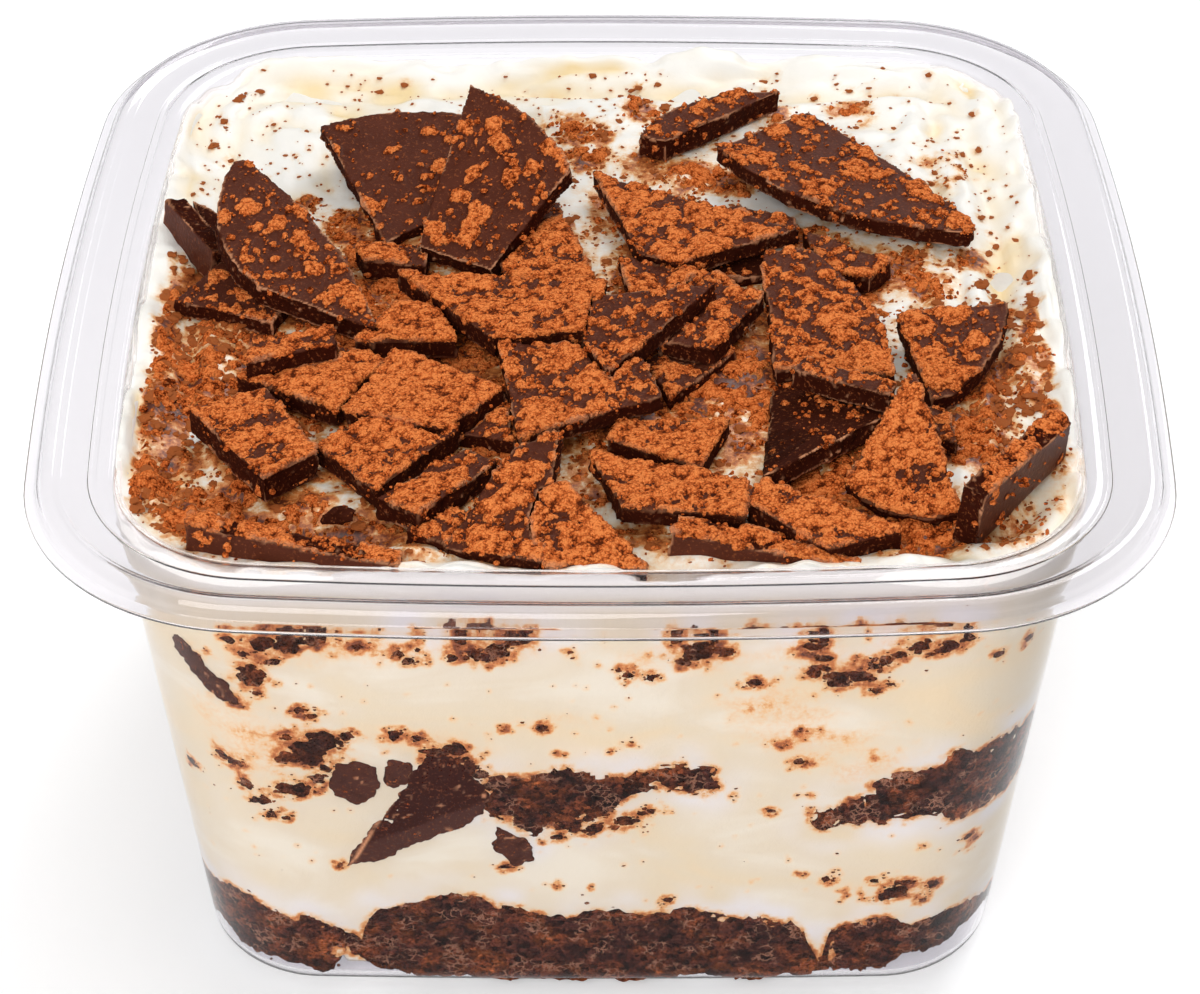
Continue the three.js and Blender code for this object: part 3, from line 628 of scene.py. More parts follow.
# The body of the cream, with its upper edge drawn up or down to the struck top, which is a finer skin of
# its own.
wall_rings = [
    body_ring(z, EMBED + 0.3 * float(smoothstep(64.5, 67, z)), **CREAM_CUTS)
    for z in np.linspace(CREAM_FOOT, CREAM_EDGE, 136)]
floor_rings = [body_ring(CREAM_FOOT, inset, **CREAM_CUTS) for inset in (-14, -6)]
to_edge = cream_top(wall_rings[-1][:, :2])[0] - CREAM_EDGE - 0.2
level_below = wall_rings[-5][0, 2]
for ring in wall_rings[-4:]:
    ring[:, 2] += to_edge * (ring[0, 2] - level_below) / (CREAM_EDGE - level_below)
top_rings = []
top_edge = body_ring(CREAM_EDGE, EMBED + 0.3, side_cuts=130, corner_cuts=30)
for inwards in [0, 0.12, 0.35, *np.arange(0.75, 24, 0.5), *np.arange(24, 50, 1.6)]:
    ring = top_edge.copy()
    ring[:, :2] *= 1 - inwards / (body_size(CREAM_EDGE)[0] + EMBED)
    ring[:, 2] = cream_top(ring[:, :2])[0]
    top_rings.append(ring)
underside = top_rings[0] * (0.99, 0.99, 1) - (0, 0, 3)
lid = [wall_rings[-1] * (0.975, 0.975, 1) - (0, 0, drop) for drop in (1, 5)]
cream = ring_skin("cream_fill", [*floor_rings, *wall_rings, *lid])
struck_top = ring_skin("cream_top", [underside, *top_rings])
finder = finder_of(sponge_skin)

# Where cocoa has drifted on the cream, as (x, y, half its width, half its depth, how densely).
drifts = [
    (-15, -14, 30, 22, 0.95), (-47, -17, 5.5, 7, 1.0), (-50, -30, 4, 7, 0.85), (-48, -38, 5, 4.5, 0.9),
    (-38, -43, 10, 4.5, 1.0), (-27, -45, 7, 4, 0.8), (-15, -50, 7, 3, 0.55), (4, -46, 5, 4, 0.5),
    (15, -20, 6, 12, 0.85), (9, -22, 4, 4, 0.6), (-2, -36, 5, 5, 0.5), (28, -38, 9, 7, 1.0),
    (36, -46, 8, 4, 0.95), (42, -19, 4.5, 3.5, 0.8), (42, -28, 4, 7, 0.85), (47, -16, 3, 4, 0.6),
    (38, 4, 5, 4, 0.75), (46, 8, 3, 2, 0.5), (-2.5, 38, 3.2, 3, 0.55), (-2, 31.5, 3.2, 3, 0.7),
    (6.5, 30, 3.5, 3, 0.6), (9, 25, 5, 3.5, 0.6), (15, 26, 4, 4, 0.75), (6, 43, 3, 3, 0.4),
    (-31, 15, 3.5, 4, 0.85), (-27, 9, 4, 4, 0.85), (33, 43, 2.5, 2.5, 0.4), (43, 28, 3, 5, 0.35),
    (25, 3, 14, 10, 0.6), (2, 15, 4, 12, 0.35), (46, -44, 6, 6, 0.35), (-51.5, -2, 1.2, 3.5, 0.8),
    (-51, -9, 1.3, 3.2, 0.8), (-49, 2, 1.2, 3, 0.75), (-52, -16, 1, 3, 0.7), (-50.5, -22, 1.6, 3.5, 0.85),
    (-46, -6, 1.2, 3.5, 0.8), (-44, 1, 1.5, 3.5, 0.8), (-48.5, -11, 1.4, 4, 0.85), (50, -8, 1, 4, 0.7),
    (51.5, -15, 1, 3.5, 0.7), (50.5, -23, 1.2, 4, 0.75), (48, -3, 1.2, 3, 0.65), (-36, 21, 1.5, 1.2, 0.6),
    (20, 45, 2, 1.5, 0.7), (24, 41, 1.6, 1.2, 0.6), (39, 21, 3, 2, 0.7)]


def drift_cover(flat):
    """How densely cocoa lies on the cream at points given as (x, y), 0 to 1."""
    still = raised(flat)
    warp = flat + 1.6 * np.stack([grain(still, 5, 61), grain(still, 5, 62)], 1)
    cover = np.full(len(flat), 0.05)
    for x, y, wide, deep, amount in drifts:
        d = ((warp[:, 0] - x) / wide) ** 2 + ((warp[:, 1] - y) / deep) ** 2
        cover = np.maximum(cover, amount * np.exp(-np.maximum(d - 0.35, 0) * 0.9))
    beyond = from_wall(raised(flat, CREAM_EDGE))[0]
    patchy = 0.86 + 0.5 * grain(still, 4.5, 66) + 0.25 * grain(still, 2.0, 67)
    return np.clip(cover * patchy, 0, 1) * smoothstep(-0.6, -2.2, beyond)


# Wet specks of cocoa: some in the drifts, some all over, and larger ones along the left and right banks.
DRIFT_SPECKS, SCATTERED_SPECKS, LEFT_SPECKS, RIGHT_SPECKS = 1900, 2300, 420, 230
BANK_SPECK_SIZE = 1.45
dice = np.random.RandomState(31)
spread = np.array(drifts)
weight = spread[:, 2] * spread[:, 3]
choice = spread[dice.choice(len(spread), DRIFT_SPECKS, p=weight / weight.sum())]
near_drift = choice[:, :2] + dice.normal(0, 0.9, (len(choice), 2)) * choice[:, 2:4]
scattered = dice.uniform(-52, 52, (SCATTERED_SPECKS, 2))
left_bank = dice.uniform((-52, -46), (-42, 8), (LEFT_SPECKS, 2))
right_bank = dice.uniform((44, -36), (52, 2), (RIGHT_SPECKS, 2))
speck_flat = np.concatenate([left_bank, right_bank, near_drift, scattered])
speck_size = np.ones(len(speck_flat))
speck_size[:LEFT_SPECKS + RIGHT_SPECKS] = BANK_SPECK_SIZE
clear_of_wall = from_wall(raised(speck_flat, CREAM_EDGE))[0] < -1.2
speck_flat, speck_size = speck_flat[clear_of_wall], speck_size[clear_of_wall]
speck_radii = np.clip(speck_size * dice.lognormal(-1.5, 0.5, len(speck_flat)), 0.07, 0.9)
speck_centres = np.column_stack([speck_flat, cream_top(speck_flat)[0] + 0.05 * speck_radii])

# The corners under the bottom sponge stay empty, and cocoa and coffee bleed into the cream round each crumb
# at the wall.
p = vertices(cream)
beyond, out = from_wall(p)
empty = smoothstep(0.8, -0.6, p[:, 2] - lower_line(p[:, 0])) * (p[:, 1] < -34)
empty *= smoothstep(30, 33, np.abs(p[:, 0]))
p[:, :2] -= out * (6 * empty * (beyond > -2))[:, None]
set_vertices(cream, p)
stain = np.zeros(len(p))
for centre, r in zip(crumb_centres, crumb_radii):
    close = np.nonzero(np.abs(p[:, 2] - centre[2]) < 2 * r + 1.6)[0]
    far = np.maximum(np.linalg.norm(p[close] - centre, axis=1) - 0.8 * r, 0)
    stain[close] += (0.20 + 0.25 * min(r, 0.9)) * np.exp(-((far / (0.2 * r + 0.4)) ** 2))
stain = np.minimum(stain, 0.5) * (0.8 + 0.7 * grain(p, 1.1, 22))
apart = np.full(len(p), 9.0)
for i in np.nonzero(beyond > -0.8)[0]:
    apart[i] = finder.find(p[i])[2]
bleed = smoothstep(0.9, 0.1, apart) * (0.30 + 0.45 * grain(p, 1.8, 21)) + 0.06 * smoothstep(3, 0.8, apart)

# Clouds of coffee in it, as (way along the wall, height, half width, half height, how strong).
haze = [
    (24, 45, 9, 5, 0.16), (29, 40, 5, 4, 0.13), (17, 50, 7, 2.5, 0.12), (-33, 58, 7, 3, 0.16),
    (-35, 42, 8, 5, 0.14), (-20, 58, 8, 2.5, 0.13), (8, 57, 8, 2.5, 0.13), (27, 56, 8, 3, 0.15),
    (35, 18, 8, 3, 0.11), (-18, 43, 8, 3, 0.12), (38, 33, 6, 3, 0.13), (-4, 47, 10, 2, 0.09),
    (-42, 47, 5, 5, 0.13), (30, 60, 9, 3, 0.12), (-12, 60, 6, 3, 0.2)]
for s, z, wide, high, amount in haze:
    middle = on_wall(s, z, 0)
    level = np.linalg.norm(p[:, :2] - middle[:2], axis=1) / wide
    cloud = np.exp(-level ** 2 - ((p[:, 2] - z) / high) ** 2)
    stain += amount * cloud * (1 + 1.1 * grain(p * (0.6, 1, 1.3), 2.4, 25))
stain = np.maximum(stain, np.where(beyond > -0.8, bleed, 0)) * smoothstep(68.6, 67.6, p[:, 2])
carry(cream, stain=np.clip(stain, 0, 1.2), hollow=0,
      cool=smoothstep(5.5, 1.0, apart) * np.clip(0.45 + 0.7 * grain(p, 3.5, 26), 0, 0.9))

# White above and yellower behind the wall, with streaks along the wall, painted yellow shade in the hollows
# of the top, stains of coffee and cocoa, and a warm painted shade beside the plates.
cream_material, tree, shader = plain_material("cream", (0.93, 0.88, 0.77), 0.42)
coords = add(tree, "TexCoord", out="Object")
fine = noise(tree, coords, 1300, Detail=4, Roughness=0.65)
broad = noise(tree, coords, 90, Detail=2)
streaks = noise(tree, add(tree, "Mapping", Vector=coords, Scale=(50, 50, 95)), 1, Detail=4, Roughness=0.5,
                Distortion=0.9)
tone = ramp(tree, streaks, (0.34, (0.81, 0.748, 0.628)), (0.47, (0.765, 0.675, 0.53)),
            (0.58, (0.77, 0.665, 0.495)), (0.72, (0.80, 0.66, 0.455)))
above = span(tree, add(tree, "SeparateXYZ", coords, out="Z"), 0.062, 0.0685, kind="SMOOTHSTEP")
tone = blend(tree, above, tone, (0.95, 0.925, 0.865, 1))
tone = blend(tree, layer(tree, "cool"), tone, (0.80, 0.775, 0.78, 1))
# Painted yellow shade in the hollows of the struck top.
swirl = times(tree, layer(tree, "hollow"), span(tree, broad, 0.3, 0.75, 0, 0.85))
tone = blend(tree, swirl, tone, (0.90, 0.70, 0.38, 1))
soaked = times(tree, span(tree, fine, 0.3, 0.7, 0.45, 1.5), layer(tree, "stain"))
stain_tone = ramp(tree, soaked, (0, (0.88, 0.72, 0.50)), (0.26, (0.83, 0.50, 0.22)),
                  (0.48, (0.62, 0.20, 0.048)), (0.74, (0.27, 0.060, 0.013)), (1, (0.090, 0.018, 0.006)))
tone = blend(tree, span(tree, soaked, 0.04, 0.34), tone, stain_tone)
surface(tree, shader, tone, fine, 0.25, 0.0003)
for piece in (cream, struck_top):
    dress(piece, cream_material)
    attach(piece, "root")
    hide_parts("cream")

# ------------------------------------------------------------------ crumbs in the cream
# Loose crumbs of the same sponge, from dust up to the size of a pea. They came off as it was torn, were
# stirred into the cream, and are pressed flat where they meet the wall.


def blobs(name, centres, radii, seed, squash=0.7, bumpy=0.35, plain_below=0.22):
    """One mesh of many small rough lumps, and the radius of the lump that each vertex is on."""
    dice = np.random.RandomState(seed)
    shapes = {}
    for level in (1, 2, 3):
        bpy.ops.mesh.primitive_ico_sphere_add(subdivisions=level, radius=1)
        ball = bpy.context.object
        shapes[level] = (vertices(ball) * MM, [tuple(face.vertices) for face in ball.data.polygons])
        bpy.data.objects.remove(ball)
    points, faces, sizes, count = [], [], [], 0
    for centre, r in zip(centres, radii):
        ball, corners = shapes[1 if r < plain_below else 2 if r < 1.25 else 3]
        stretch = dice.uniform(0.75, 1.25, 3) * (1, 1, squash)
        turn = dice.uniform(0, 2 * math.pi)
        cos, sin = math.cos(turn), math.sin(turn)
        lump = ball * (1 + bumpy * grain(ball + dice.uniform(0, 30, 3), 0.55, seed)[:, None]) * stretch
        lump = lump @ np.array([[cos, sin, 0], [-sin, cos, 0], [0, 0, 1]])
        points.append(lump * r + centre)
        sizes.extend([r] * len(ball))
        faces.extend(tuple(count + i for i in corner) for corner in corners)
        count += len(ball)
    return new_object(name, np.concatenate(points), faces), np.array(sizes)


# More crumbs have come off along the edges of the sponge.
TORN_TRIES, TORN_CRUMBS = 9000, 1300
skin = np.array(sponge_skin)
skin = skin[from_wall(skin)[0] > -0.2]
dice = np.random.RandomState(17)
torn = skin[dice.randint(0, len(skin), TORN_TRIES)]
torn = torn + dice.normal(0, 1, torn.shape) * (1.1, 1.1, 0.9)
beyond, out = from_wall(torn)
torn[:, :2] -= out * (beyond + 0.15)[:, None]
apart = np.array([finder.find(place)[2] for place in torn])
torn = torn[(apart > 0.25) & (apart < 1.5) & (torn[:, 2] > 3) & (torn[:, 2] < 62)][:TORN_CRUMBS]
torn_radii = np.clip(dice.lognormal(-1.45, 0.5, len(torn)), 0.1, 0.6)
wall_crumbs, sizes = blobs(
    "crumbs_at_wall", np.concatenate([crumb_centres, torn]), np.concatenate([crumb_radii, torn_radii]), 40,
    squash=0.8, bumpy=0.45, plain_below=0.42)
p = vertices(wall_crumbs)
beyond, out = from_wall(p)
p[:, :2] -= out * np.maximum(beyond - 0.14, 0)[:, None]
set_vertices(wall_crumbs, p)
dress(wall_crumbs, sponge_material)
large = smoothstep(0.25, 0.7, sizes)
# pit paints shade into the hollows of the larger crumbs.
carry(wall_crumbs, pit=np.clip(large * (0.32 + 0.5 * grain(p, 0.9, 44)), 0, 0.65),
      rim=np.clip(0.35 - 0.3 * large + 0.25 * grain(p, 1.1, 45), 0, 0.5))
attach(wall_crumbs, "root")

# ------------------------------------------------------------------ the chocolate plates
# Dark chocolate poured into thin round discs and broken up. The upper faces are flat and dull, the broken
# sides rough, and cocoa lies thick on whatever faces up.


def cocoa_powder(tree, *stops):
    """The colour of heaped cocoa, with painted shade between lumps, the relief of its grains, and its finest
    noise.
    """
    coords = add(tree, "TexCoord", out="Object")
    powder = noise(tree, coords, 3000, Detail=2, Roughness=0.6)
    lumpy = noise(tree, coords, 900, Detail=4, Roughness=0.7)
    bent = blend(tree, 0.0005, coords, lumpy.node.outputs["Color"], "ADD")
    grains = add(tree, "TexVoronoi", Vector=bent, Scale=3300, Randomness=1)
    light = times_plus(tree, add(tree, "SeparateColor", grains.node.outputs["Color"]), 0.42, lumpy)
    relief = times_plus(tree, grains, -0.47, light)
    return ramp(tree, times_plus(tree, layer(tree, "crag"), 0.48, relief), *stops), relief, powder


chocolate, tree, shader = plain_material(
    "chocolate", (0.075, 0.018, 0.008), 0.42, Specular_Tint=(1.0, 0.55, 0.38, 1), Specular_IOR_Level=0.12)
cocoa_tone, cocoa_relief, powder = cocoa_powder(
    tree, (0.44, (0.10, 0.018, 0.0045)), (0.62, (0.38, 0.074, 0.0150)), (0.80, (0.68, 0.155, 0.034)),
    (1, (0.92, 0.27, 0.070)))
coords = add(tree, "TexCoord", out="Object")
cloudy = noise(tree, coords, 240, Detail=4, Roughness=0.6)
flecks = noise(tree, coords, 2300, Detail=3, Roughness=0.7)
rough_side = layer(tree, "broken")
tone = blend(tree, cloudy, (0.046, 0.0105, 0.0058, 1), (0.112, 0.029, 0.015, 1))
# The broken sides are darkened with painted shade; they are also matt.
tone = blend(tree, rough_side, tone, (0.42, 0.26, 0.20, 1), "MULTIPLY")
tone = blend(tree, layer(tree, "bloom"), tone, (0.070, 0.0225, 0.0165, 1))
tone = blend(tree, layer(tree, "wet"), tone, (0.034, 0.0030, 0.0014, 1))
tone = blend(tree, span(tree, flecks, 0.57, 0.68, 0, 0.65), tone, (0.30, 0.085, 0.028, 1))
dusted = span(tree, times_plus(tree, powder, 1.1, layer(tree, "cocoa")), 0.98, 1.10)
tone = blend(tree, dusted, tone, cocoa_tone)
# Pale edges: a painted highlight, with some cocoa dust and bloom.
edge_share = times(tree, layer(tree, "edge"), span(tree, cloudy, 0.36, 0.46))
tone = blend(tree, edge_share, tone, (0.72, 0.33, 0.17, 1))
relief = add(tree, "Mix", out="Result", Factor=dusted, A=times(tree, flecks, 0.22), B=cocoa_relief)
surface(tree, shader, tone, relief, 1, 0.00045)
matt = add(tree, "Math", dusted, rough_side, operation="MAXIMUM")
feed(tree, shader.inputs["Roughness"], add(tree, "Mix", out="Result", Factor=matt, A=0.44, B=0.95))


def sift(points, cover, seed, sizes=((3.4, 1.2), (1.7, 1.0), (0.85, 0.62))):
    """Cocoa sifted over the points in round clumps of three sizes, so that the share cover of the surface
    lies under it; returns how much of it lies at each point, 0 to 1, and how high it is heaped."""
    wide = (-np.log(1 - np.clip(cover, 0, 0.995)) / 15) ** (1 / 3)
    dust = np.zeros(len(points))
    rise = np.zeros(len(points))
    for scale, (size, share) in enumerate(sizes):
        table = np.random.RandomState(seed + scale).uniform(0, 1, (24, 24, 24, 4))
        ragged_points = points + 0.25 * size * np.stack(
            [grain(points, 0.4 * size, seed + k) for k in (5, 6, 7)], 1)
        ragged_points += 0.13 * np.stack([grain(points, 0.55, seed + k) for k in (8, 9, 10)], 1)
        q = ragged_points / size
        low = np.floor(q).astype(int)
        for corner in np.ndindex(3, 3, 3):
            cell = low + np.array(corner) - 1
            i, j, k = (cell % 24).T
            spot = table[i, j, k]
            far = np.linalg.norm(q - cell - spot[:, :3], axis=1) * size
            radius = size * share * wide * (0.55 + 0.9 * spot[:, 3]) + 1e-6
            dust = np.maximum(dust, smoothstep(-0.02, 0.2, radius - far))
            dome = np.sqrt(np.clip(1 - (far / radius) ** 2, 0, 1))
            rise = np.maximum(rise, dome * (0.12 + 0.16 * radius))
    return dust, rise


def heap(points, dust, rise):
    """Height of the craggy cocoa over what it lies on, and how far up its lumps a point is, 0 to 1."""
    lumps = domes(points, 1.0, 50)
    return dust * (rise + 0.32 * lumps + 0.15 * grain(points, 0.5, 51)), lumps


def curl(piece):
    """How sharply the skin bends outwards at each vertex."""
    mesh = piece.data
    pairs = np.zeros(len(mesh.edges) * 2, int)
    mesh.edges.foreach_get("vertices", pairs)
    a, b = pairs.reshape(-1, 2).T
    p, n = vertices(piece), normals(piece)
    step = p[b] - p[a]
    length = np.linalg.norm(step, axis=1) + 1e-9
    total, count = np.zeros(len(p)), np.zeros(len(p))
    np.add.at(total, a, -(step * n[a]).sum(1) / length)
    np.add.at(total, b, (step * n[b]).sum(1) / length)
    np.add.at(count, a, 1)
    np.add.at(count, b, 1)
    return total / np.maximum(count, 1)


# Each plate with the share of its upper face under cocoa, and how that share changes over 10 mm in X and Y.
plates = {
    "tall_back": (0.33, 0.10, -0.08), "blade_left": (0.36, 0.05, -0.14), "centre_wet": (0.55, -0.1, 0),
    "bar_right": (0.70, 0, 0), "point_right": (0.97, 0, 0), "lean_front_right": (0.85, 0.1, -0.1),
    "lean_front": (0.60, -0.2, -0.1), "slab_back": (0.78, -0.05, -0.05), "dome_right": (0.78, 0, -0.1),
    "moon_right": (0.45, 0, 0), "wing_right": (0.62, -0.3, -0.15), "wet_plate": (0.75, 0, 0),
    "big_centre": (0.91, 0, 0), "centre_ledge": (0.62, 0, 0), "centre_rim": (0.75, 0, 0),
    "fan_back": (0.26, 0.12, -0.16), "block_back": (0.55, 0, 0), "dark_right": (0.10, 0, 0),
    "wall_right": (0.6, 0, 0), "sliver_front": (0.85, 0, 0), "slab_front": (0.94, 0, 0),
    "slab_front_right": (0.94, 0, 0), "long_front": (0.75, 0, 0), "shelf_left": (0.70, 0, 0),
    "block_left": (0.78, 0.1, -0.1), "big_left": (0.93, 0, 0), "big_front_left": (0.93, 0, 0),
    "block_front": (0.81, 0, 0), "plate_mid_left": (0.97, 0, 0), "spur_centre": (0.93, 0, 0),
    "stub_left": (0.50, 0, 0), "plate_left": (0.85, 0.1, 0), "chip_centre": (0.88, -0.2, 0),
    "low_front": (0.81, 0, 0), "wedge_right": (0.70, 0, 0), "under_back": (0.60, 0, 0),
    "gap_back": (0.20, 0, 0), "dark_centre": (0.55, 0, 0), "low_left": (0.45, 0, 0),
    "edge_left": (0.03, 0, 0), "chip_left": (0.02, 0, 0), "block_small_left": (0.81, 0, 0),
    "chip_right": (0.60, 0, 0), "chip_back": (0.60, 0, 0)}
PLATE_CELL = 0.3
rims = []
for seed, (name, (cover, across_x, across_y)) in enumerate(plates.items(), 100):
    # The flat faces stay flat and the broken sides are chipped.
    piece = copy_of(name, "broken_" + name)
    remesh(piece, PLATE_CELL)
    p, n = vertices(piece), normals(piece)
    middle = p.mean(axis=0)
    axes = np.linalg.eigh(np.cov((p - middle).T))[1]
    broken = 1 - smoothstep(0.55, 0.9, np.abs(n @ axes[:, 0]))
    chips = 0.20 * grain(p, 0.8, seed) + 0.36 * grain(p, 2.4, seed + 1)
    chips -= 0.16 * np.abs(grain(p, 1.3, seed + 2))
    p += n * (broken * chips + 0.03 * grain(p, 3, seed + 2))[:, None]
    set_vertices(piece, p)
    bend = curl(piece)
    n = normals(piece)
    # Three plates that lie in shade are made matt and darkened all over with painted shade.
    if name in ("dark_right", "gap_back", "chip_left"):
        broken = np.maximum(broken, 0.9)
    # Cocoa is heaped on what faces up, with a trace on the sides and rather more on those of wall_right.
    share = cover + (across_x * (p[:, 0] - middle[0]) + across_y * (p[:, 1] - middle[1])) / 10
    share = np.clip(share + 0.16 * grain(p, 7, 68), 0, 1)
    upward = np.maximum(smoothstep(0.30, 0.62, n[:, 2]), 0.08 * smoothstep(-0.3, 0.1, n[:, 2]))
    if name == "wall_right":
        upward = np.maximum(upward, 0.1)
    dust, rise = sift(p, share * upward, 9 * seed)
    height, crag = heap(p, dust, rise)
    p += height[:, None] * (0.5 * n + (0, 0, 0.5))
    set_vertices(piece, p)
    # Sharp edges are pale, partly a painted highlight and partly cocoa dust and bloom, most of all where
    # cocoa is scarce.
    bright = 0.25 if cover > 0.85 else 0.6 if cover > 0.5 else 0.9
    pale_edge = bright * smoothstep(0.11, 0.20, bend) * smoothstep(-0.3, 0.3, grain(p, 2.4, 5))
    carry(piece, crag=crag, cocoa=dust, edge=pale_edge, broken=broken)
    dress(piece, chocolate)
    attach(piece, "root")
    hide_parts(name)
    rims.append(p[(dust > 0.05) & (dust < 0.7)])

# ------------------------------------------------------------------ chocolate in the cream at the wall
# Chips and shards of the same chocolate. They were stirred into the cream as it was filled in, and lie flat
# against the plastic.
CHIP_CELL = 0.24
set_in_cream = ["chip_side", "chip_side_small", "shard_side", "flake_side", "sliver_corner"]
for seed, name in enumerate(set_in_cream, 200):
    # Crumbly all round, and flat where it lies against the wall.
    piece = copy_of(name, "set_" + name)
    remesh(piece, CHIP_CELL)
    p, n = vertices(piece), normals(piece)
    crumbly = 0.5 * domes(p, 1.1, seed) - 0.3 + 0.25 * grain(p, 0.6, seed + 2)
    p += n * (0.45 * grain(p, 2.0, seed) + crumbly)[:, None]
    beyond, out = from_wall(p)
    near = smoothstep(-1.4, -0.8, beyond)
    p[:, :2] += out * (near * (0.15 - beyond))[:, None]
    set_vertices(piece, p)
    bloom = 0.55 + 0.5 * grain(p, 1.6, seed)
    wet = np.zeros(len(p))
    ridge = 0.8 * smoothstep(0.5, 0.75, grain(p, 0.55, seed + 5))
    ridge *= smoothstep(0.0, 0.4, grain(p, 2.5, seed + 6))
    if name == "shard_side":
        # Its clean red-brown face lies above a line from the tip, its rough greyish side below it.
        lower = (p[:, 2] - 26.8) * 14.2 - (p[:, 0] + 26.3) * 7.5
        bloom = smoothstep(0.35, -0.35, lower / 16 + 0.4 * grain(p, 1.2, seed))
        wet = 1 - bloom
        bloom *= 1.35
        crest = ((p[:, 2] - 25.8) * 6.7 - (p[:, 0] + 27.4) * 14.5) / 16
        on_crest = np.exp(-((crest + 0.15 * grain(p, 1.5, seed)) / 0.2) ** 2)
        ridge = np.maximum(ridge, on_crest * (p[:, 2] < 41))
        bloom = np.maximum(bloom, smoothstep(0.1, 0.5, crest) * 0.8)
        wet *= smoothstep(0.4, 0.1, crest)
    # Pale edges and ridge lines are a painted highlight with some cocoa dust and bloom.
    carry(piece, cocoa=0.42 * smoothstep(0.25, 0.7, grain(p, 1.0, seed + 4)),
          edge=np.maximum(0.8 * smoothstep(0.14, 0.34, curl(piece)) * (near < 0.5), ridge),
          bloom=np.clip(bloom, 0, 1.35), wet=wet,
          broken=np.clip(1.1 - 1.4 * domes(p, 1.5, seed + 8), 0, 1) * (1 - 0.8 * wet), crag=0.5)
    dress(piece, chocolate)
    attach(piece, "root")
    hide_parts(name)

# ------------------------------------------------------------------ cocoa on the cream
# Cocoa powder sifted over the whole top: a crumbly blanket between the plates, thinner drifts round them,
# and single grains that lie loose on the cream.
GRID = 0.38
BLANKET_DEPTH = 0.9
reach = np.arange(-54, 54.01, GRID)
grid_x, grid_y = np.meshgrid(reach, reach, indexing="ij")
flat = np.stack([grid_x.ravel(), grid_y.ravel()], 1)
still = raised(flat)
cover = drift_cover(flat)
cover = 0.94 * cover * smoothstep(0.03, 0.5, cover)
beyond = from_wall(raised(flat, CREAM_EDGE))[0]
dust, rise = sift(still, cover, 63, ((2.6, 0.9), (1.5, 1.0), (0.9, 0.9)))
heaped, crag = heap(still, dust, rise)
height = cream_top(flat)[0] + heaped - 0.25 * (1 - smoothstep(0, 0.35, dust))
dust[beyond > -0.5] = 0

# The blanket is the part of the grid where cocoa lies, closed below by a second skin and round it by walls.
size = len(reach)
solid = (dust > 0.02).reshape(size, size)
cells = solid[:-1, :-1] | solid[1:, :-1] | solid[:-1, 1:] | solid[1:, 1:]
index = np.arange(size * size).reshape(size, size)
i, j = np.nonzero(cells)
upper = np.stack([index[i, j], index[i + 1, j], index[i + 1, j + 1], index[i, j + 1]], 1)
lower = upper[:, ::-1] + size * size
edges = {}
for a, b, c, d in upper.tolist():
    for pair in ((a, b), (b, c), (c, d), (d, a)):
        if pair[::-1] in edges:
            del edges[pair[::-1]]
        else:
            edges[pair] = True
walls = [(b, a, a + size * size, b + size * size) for a, b in edges]
points = np.concatenate([np.column_stack([flat, z]) for z in (height, height - BLANKET_DEPTH)])
faces = upper.tolist() + lower.tolist() + walls
used = np.unique(np.array(faces))
remap = np.zeros(len(points), int)
remap[used] = np.arange(len(used))
blanket = new_object("cocoa_on_cream", points[used], remap[np.array(faces)].tolist())
carry(blanket, cocoa=np.concatenate([dust, dust])[used], crag=np.concatenate([crag, crag])[used])

cocoa_material, tree, shader = plain_material(
    "cocoa", (0.47, 0.112, 0.024), 0.95, Specular_IOR_Level=0)
cocoa_tone, cocoa_relief, powder = cocoa_powder(
    tree, (0.44, (0.095, 0.016, 0.004)), (0.60, (0.36, 0.068, 0.0135)), (0.78, (0.64, 0.142, 0.031)),
    (1, (0.86, 0.24, 0.062)))
thick = span(tree, times_plus(tree, powder, 1.1, layer(tree, "cocoa")), 0.92, 1.05)
surface(tree, shader, blend(tree, thick, (0.52, 0.17, 0.045, 1), cocoa_tone), cocoa_relief, 1, 0.00045)
dress(blanket, cocoa_material)
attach(blanket, "root")

# The cream is stained orange to brown under the cocoa, and beside the plates it takes a warm painted shade.
p = vertices(struck_top)
still = p * (1, 1, 0)
cover = drift_cover(p[:, :2])
blots = 0.55 + 0.6 * grain(still, 2.7, 64) + 0.42 * grain(still, 1.3, 65)
stain = np.clip(1.3 * cover * blots - 0.05, 0, 0.85) + 0.12 * smoothstep(0.12, 0.5, cover)
rims = np.concatenate(rims)
low_rims = rims[rims[:, 2] < 77][::5]
rim_finder, speck_finder = finder_of(low_rims), finder_of(speck_centres)
for i in range(len(p)):
    nearest, k, far = speck_finder.find(p[i])
    stain[i] += (0.08 + 0.5 * speck_radii[k]) * math.exp(-(far / (speck_radii[k] + 0.35)) ** 2)
    # A warm painted shade on the cream beside the plates.
    stain[i] += 0.19 * math.exp(-(rim_finder.find(p[i])[2] / 3.4) ** 2)
# hollow paints yellow shade into the grooves and creases of the top.
carry(struck_top, stain=np.clip(stain, 0, 1.2), cool=0,
      hollow=np.clip(1.5 * cream_top(p[:, :2])[1], 0, 1.8))

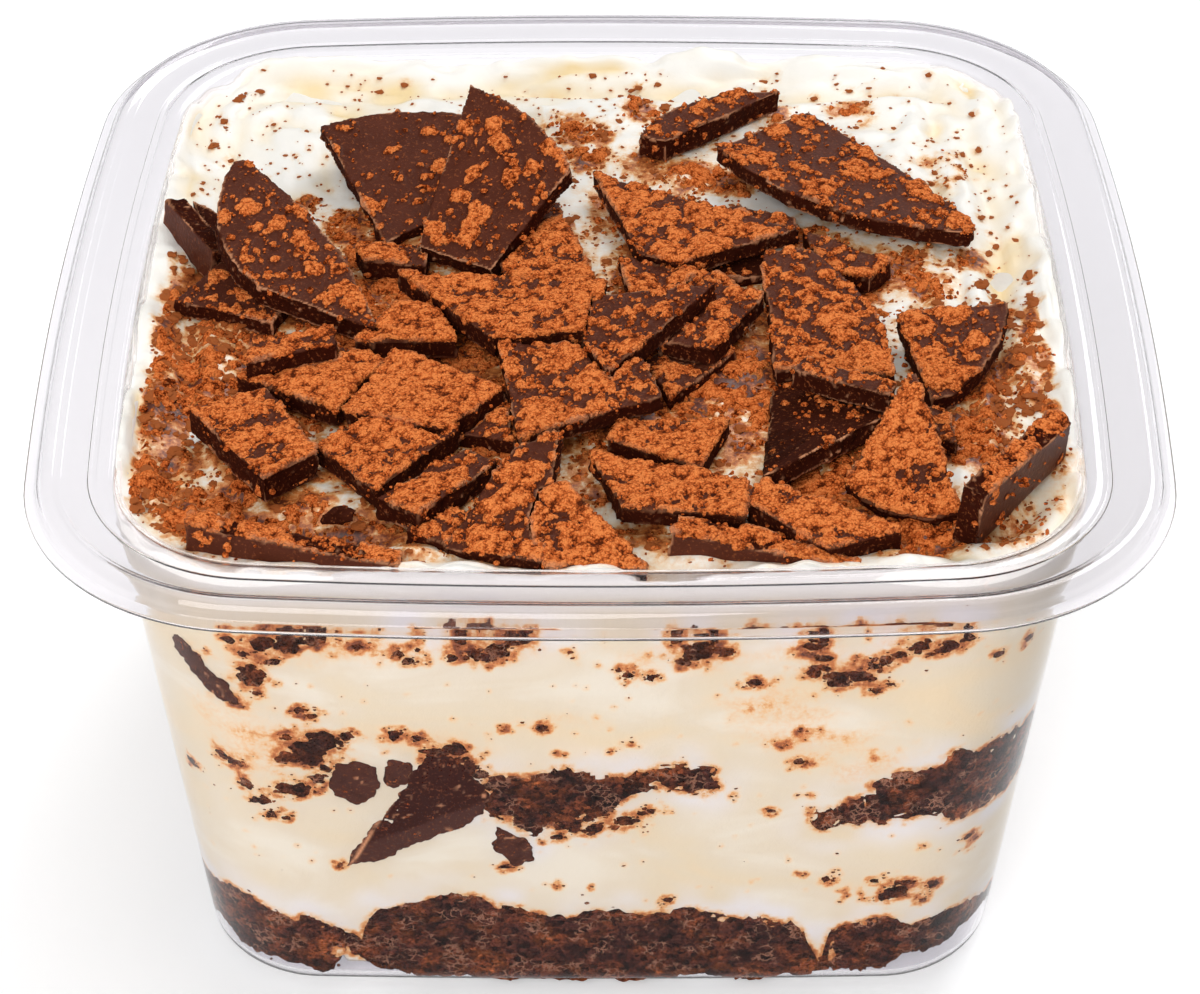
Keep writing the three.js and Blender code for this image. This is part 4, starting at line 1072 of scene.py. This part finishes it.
# Loose grains lie round the cocoa on the plates and the cream, and wet specks on the bare cream.
PLATE_GRAINS, CREAM_GRAINS = 4200, 2600
dice = np.random.RandomState(9)
near_rims = rims[dice.randint(0, len(rims), PLATE_GRAINS)]
near_rims = near_rims + dice.normal(0, 0.5, near_rims.shape) * (1, 1, 0)
drift_rim = np.nonzero((dust > 0.03) & (dust < 0.8))[0]
chosen = drift_rim[dice.randint(0, len(drift_rim), CREAM_GRAINS)]
on_cream = np.column_stack([flat[chosen], height[chosen] + 0.1])
on_cream += dice.normal(0, 0.6, on_cream.shape) * (1, 1, 0)
grains = np.concatenate([near_rims, on_cream])
grains = grains[from_wall(grains)[0] < -0.6]
wet_specks = blobs(
    "cocoa_specks", speck_centres, speck_radii, 71, squash=0.35, bumpy=0.6, plain_below=0.4)[0]
wet_cocoa = plain_material("wet_cocoa", (0.33, 0.088, 0.021), 0.75, Specular_IOR_Level=0.1)[0]
wet_specks.data.materials.append(wet_cocoa)
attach(wet_specks, "root")
grain_radii = np.clip(dice.lognormal(-1.75, 0.45, len(grains)), 0.06, 0.44)
cocoa_grains = blobs("cocoa_grains", grains, grain_radii, 70, plain_below=0.32)[0]
carry(cocoa_grains, cocoa=1, crag=0.5)
cocoa_grains.data.materials.append(cocoa_material)
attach(cocoa_grains, "root")

# ------------------------------------------------------------------ the loose chip
# A small dark splinter of the same chocolate, broken off a plate. It fell on the cream at the front left
# after the cocoa was sifted, so it is bare.
chip_place = np.array([(-28.6, -44.6)])
chip_middle = [(*chip_place[0], cream_top(chip_place)[0][0] + 1.9)]
loose_chip = blobs("loose_chip", chip_middle, [1.3], 55, squash=0.8, bumpy=0.5)[0]
carry(loose_chip, cocoa=0, crag=0.5, edge=0, broken=0.8, bloom=0, wet=0)
loose_chip.data.materials.append(chocolate)
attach(loose_chip, "root")

# ------------------------------------------------------------------ the table and the light
# A plain pale table under three large soft lamps: one behind on the right, one overhead, and one in front
# on the left. A pale glow comes from below and all round, and little from the sky.
bpy.ops.mesh.primitive_plane_add(size=2.4, location=(0, 0, -0.0002))
table = bpy.context.object
table.name = "table"
table_finish = plain_material(
    "table", (0.92, 0.92, 0.925), 0.7, Emission_Color=(1, 1, 1, 1), Emission_Strength=0.26)[0]
table.data.materials.append(table_finish)


def lamp(name, place, size, power):
    """A square lamp that points at the heap."""
    data = bpy.data.lights.new(name, "AREA")
    data.size = size
    data.energy = power
    made = bpy.data.objects.new(name, data)
    made.location = place
    aim = np.array((0, 0, 0.06)) - np.array(place)
    made.rotation_euler = Vector(aim).to_track_quat("-Z", "Y").to_euler()
    scene.collection.objects.link(made)


lamp("key", (0.45, 0.75, 1.0), 0.7, 7.5)
lamp("top", (0, 0.1, 1.6), 1.6, 8)
lamp("fill", (-0.35, -1.0, 0.8), 0.9, 11)
world = bpy.data.worlds.new("studio")
scene.world = world
world.use_nodes = True
sky = world.node_tree
height = span(sky, add(sky, "SeparateXYZ", add(sky, "TexCoord", out="Generated"), out="Z"), -1, 1)
glow = ramp(sky, height, (0, (0.8, 0.8, 0.81)), (0.56, (0.75, 0.75, 0.765)), (0.66, (0.20, 0.20, 0.204)),
            (0.75, (0.16, 0.16, 0.163)))
feed(sky, sky.nodes["Background"].inputs["Color"], glow)
scene.view_settings.view_transform = "Standard"
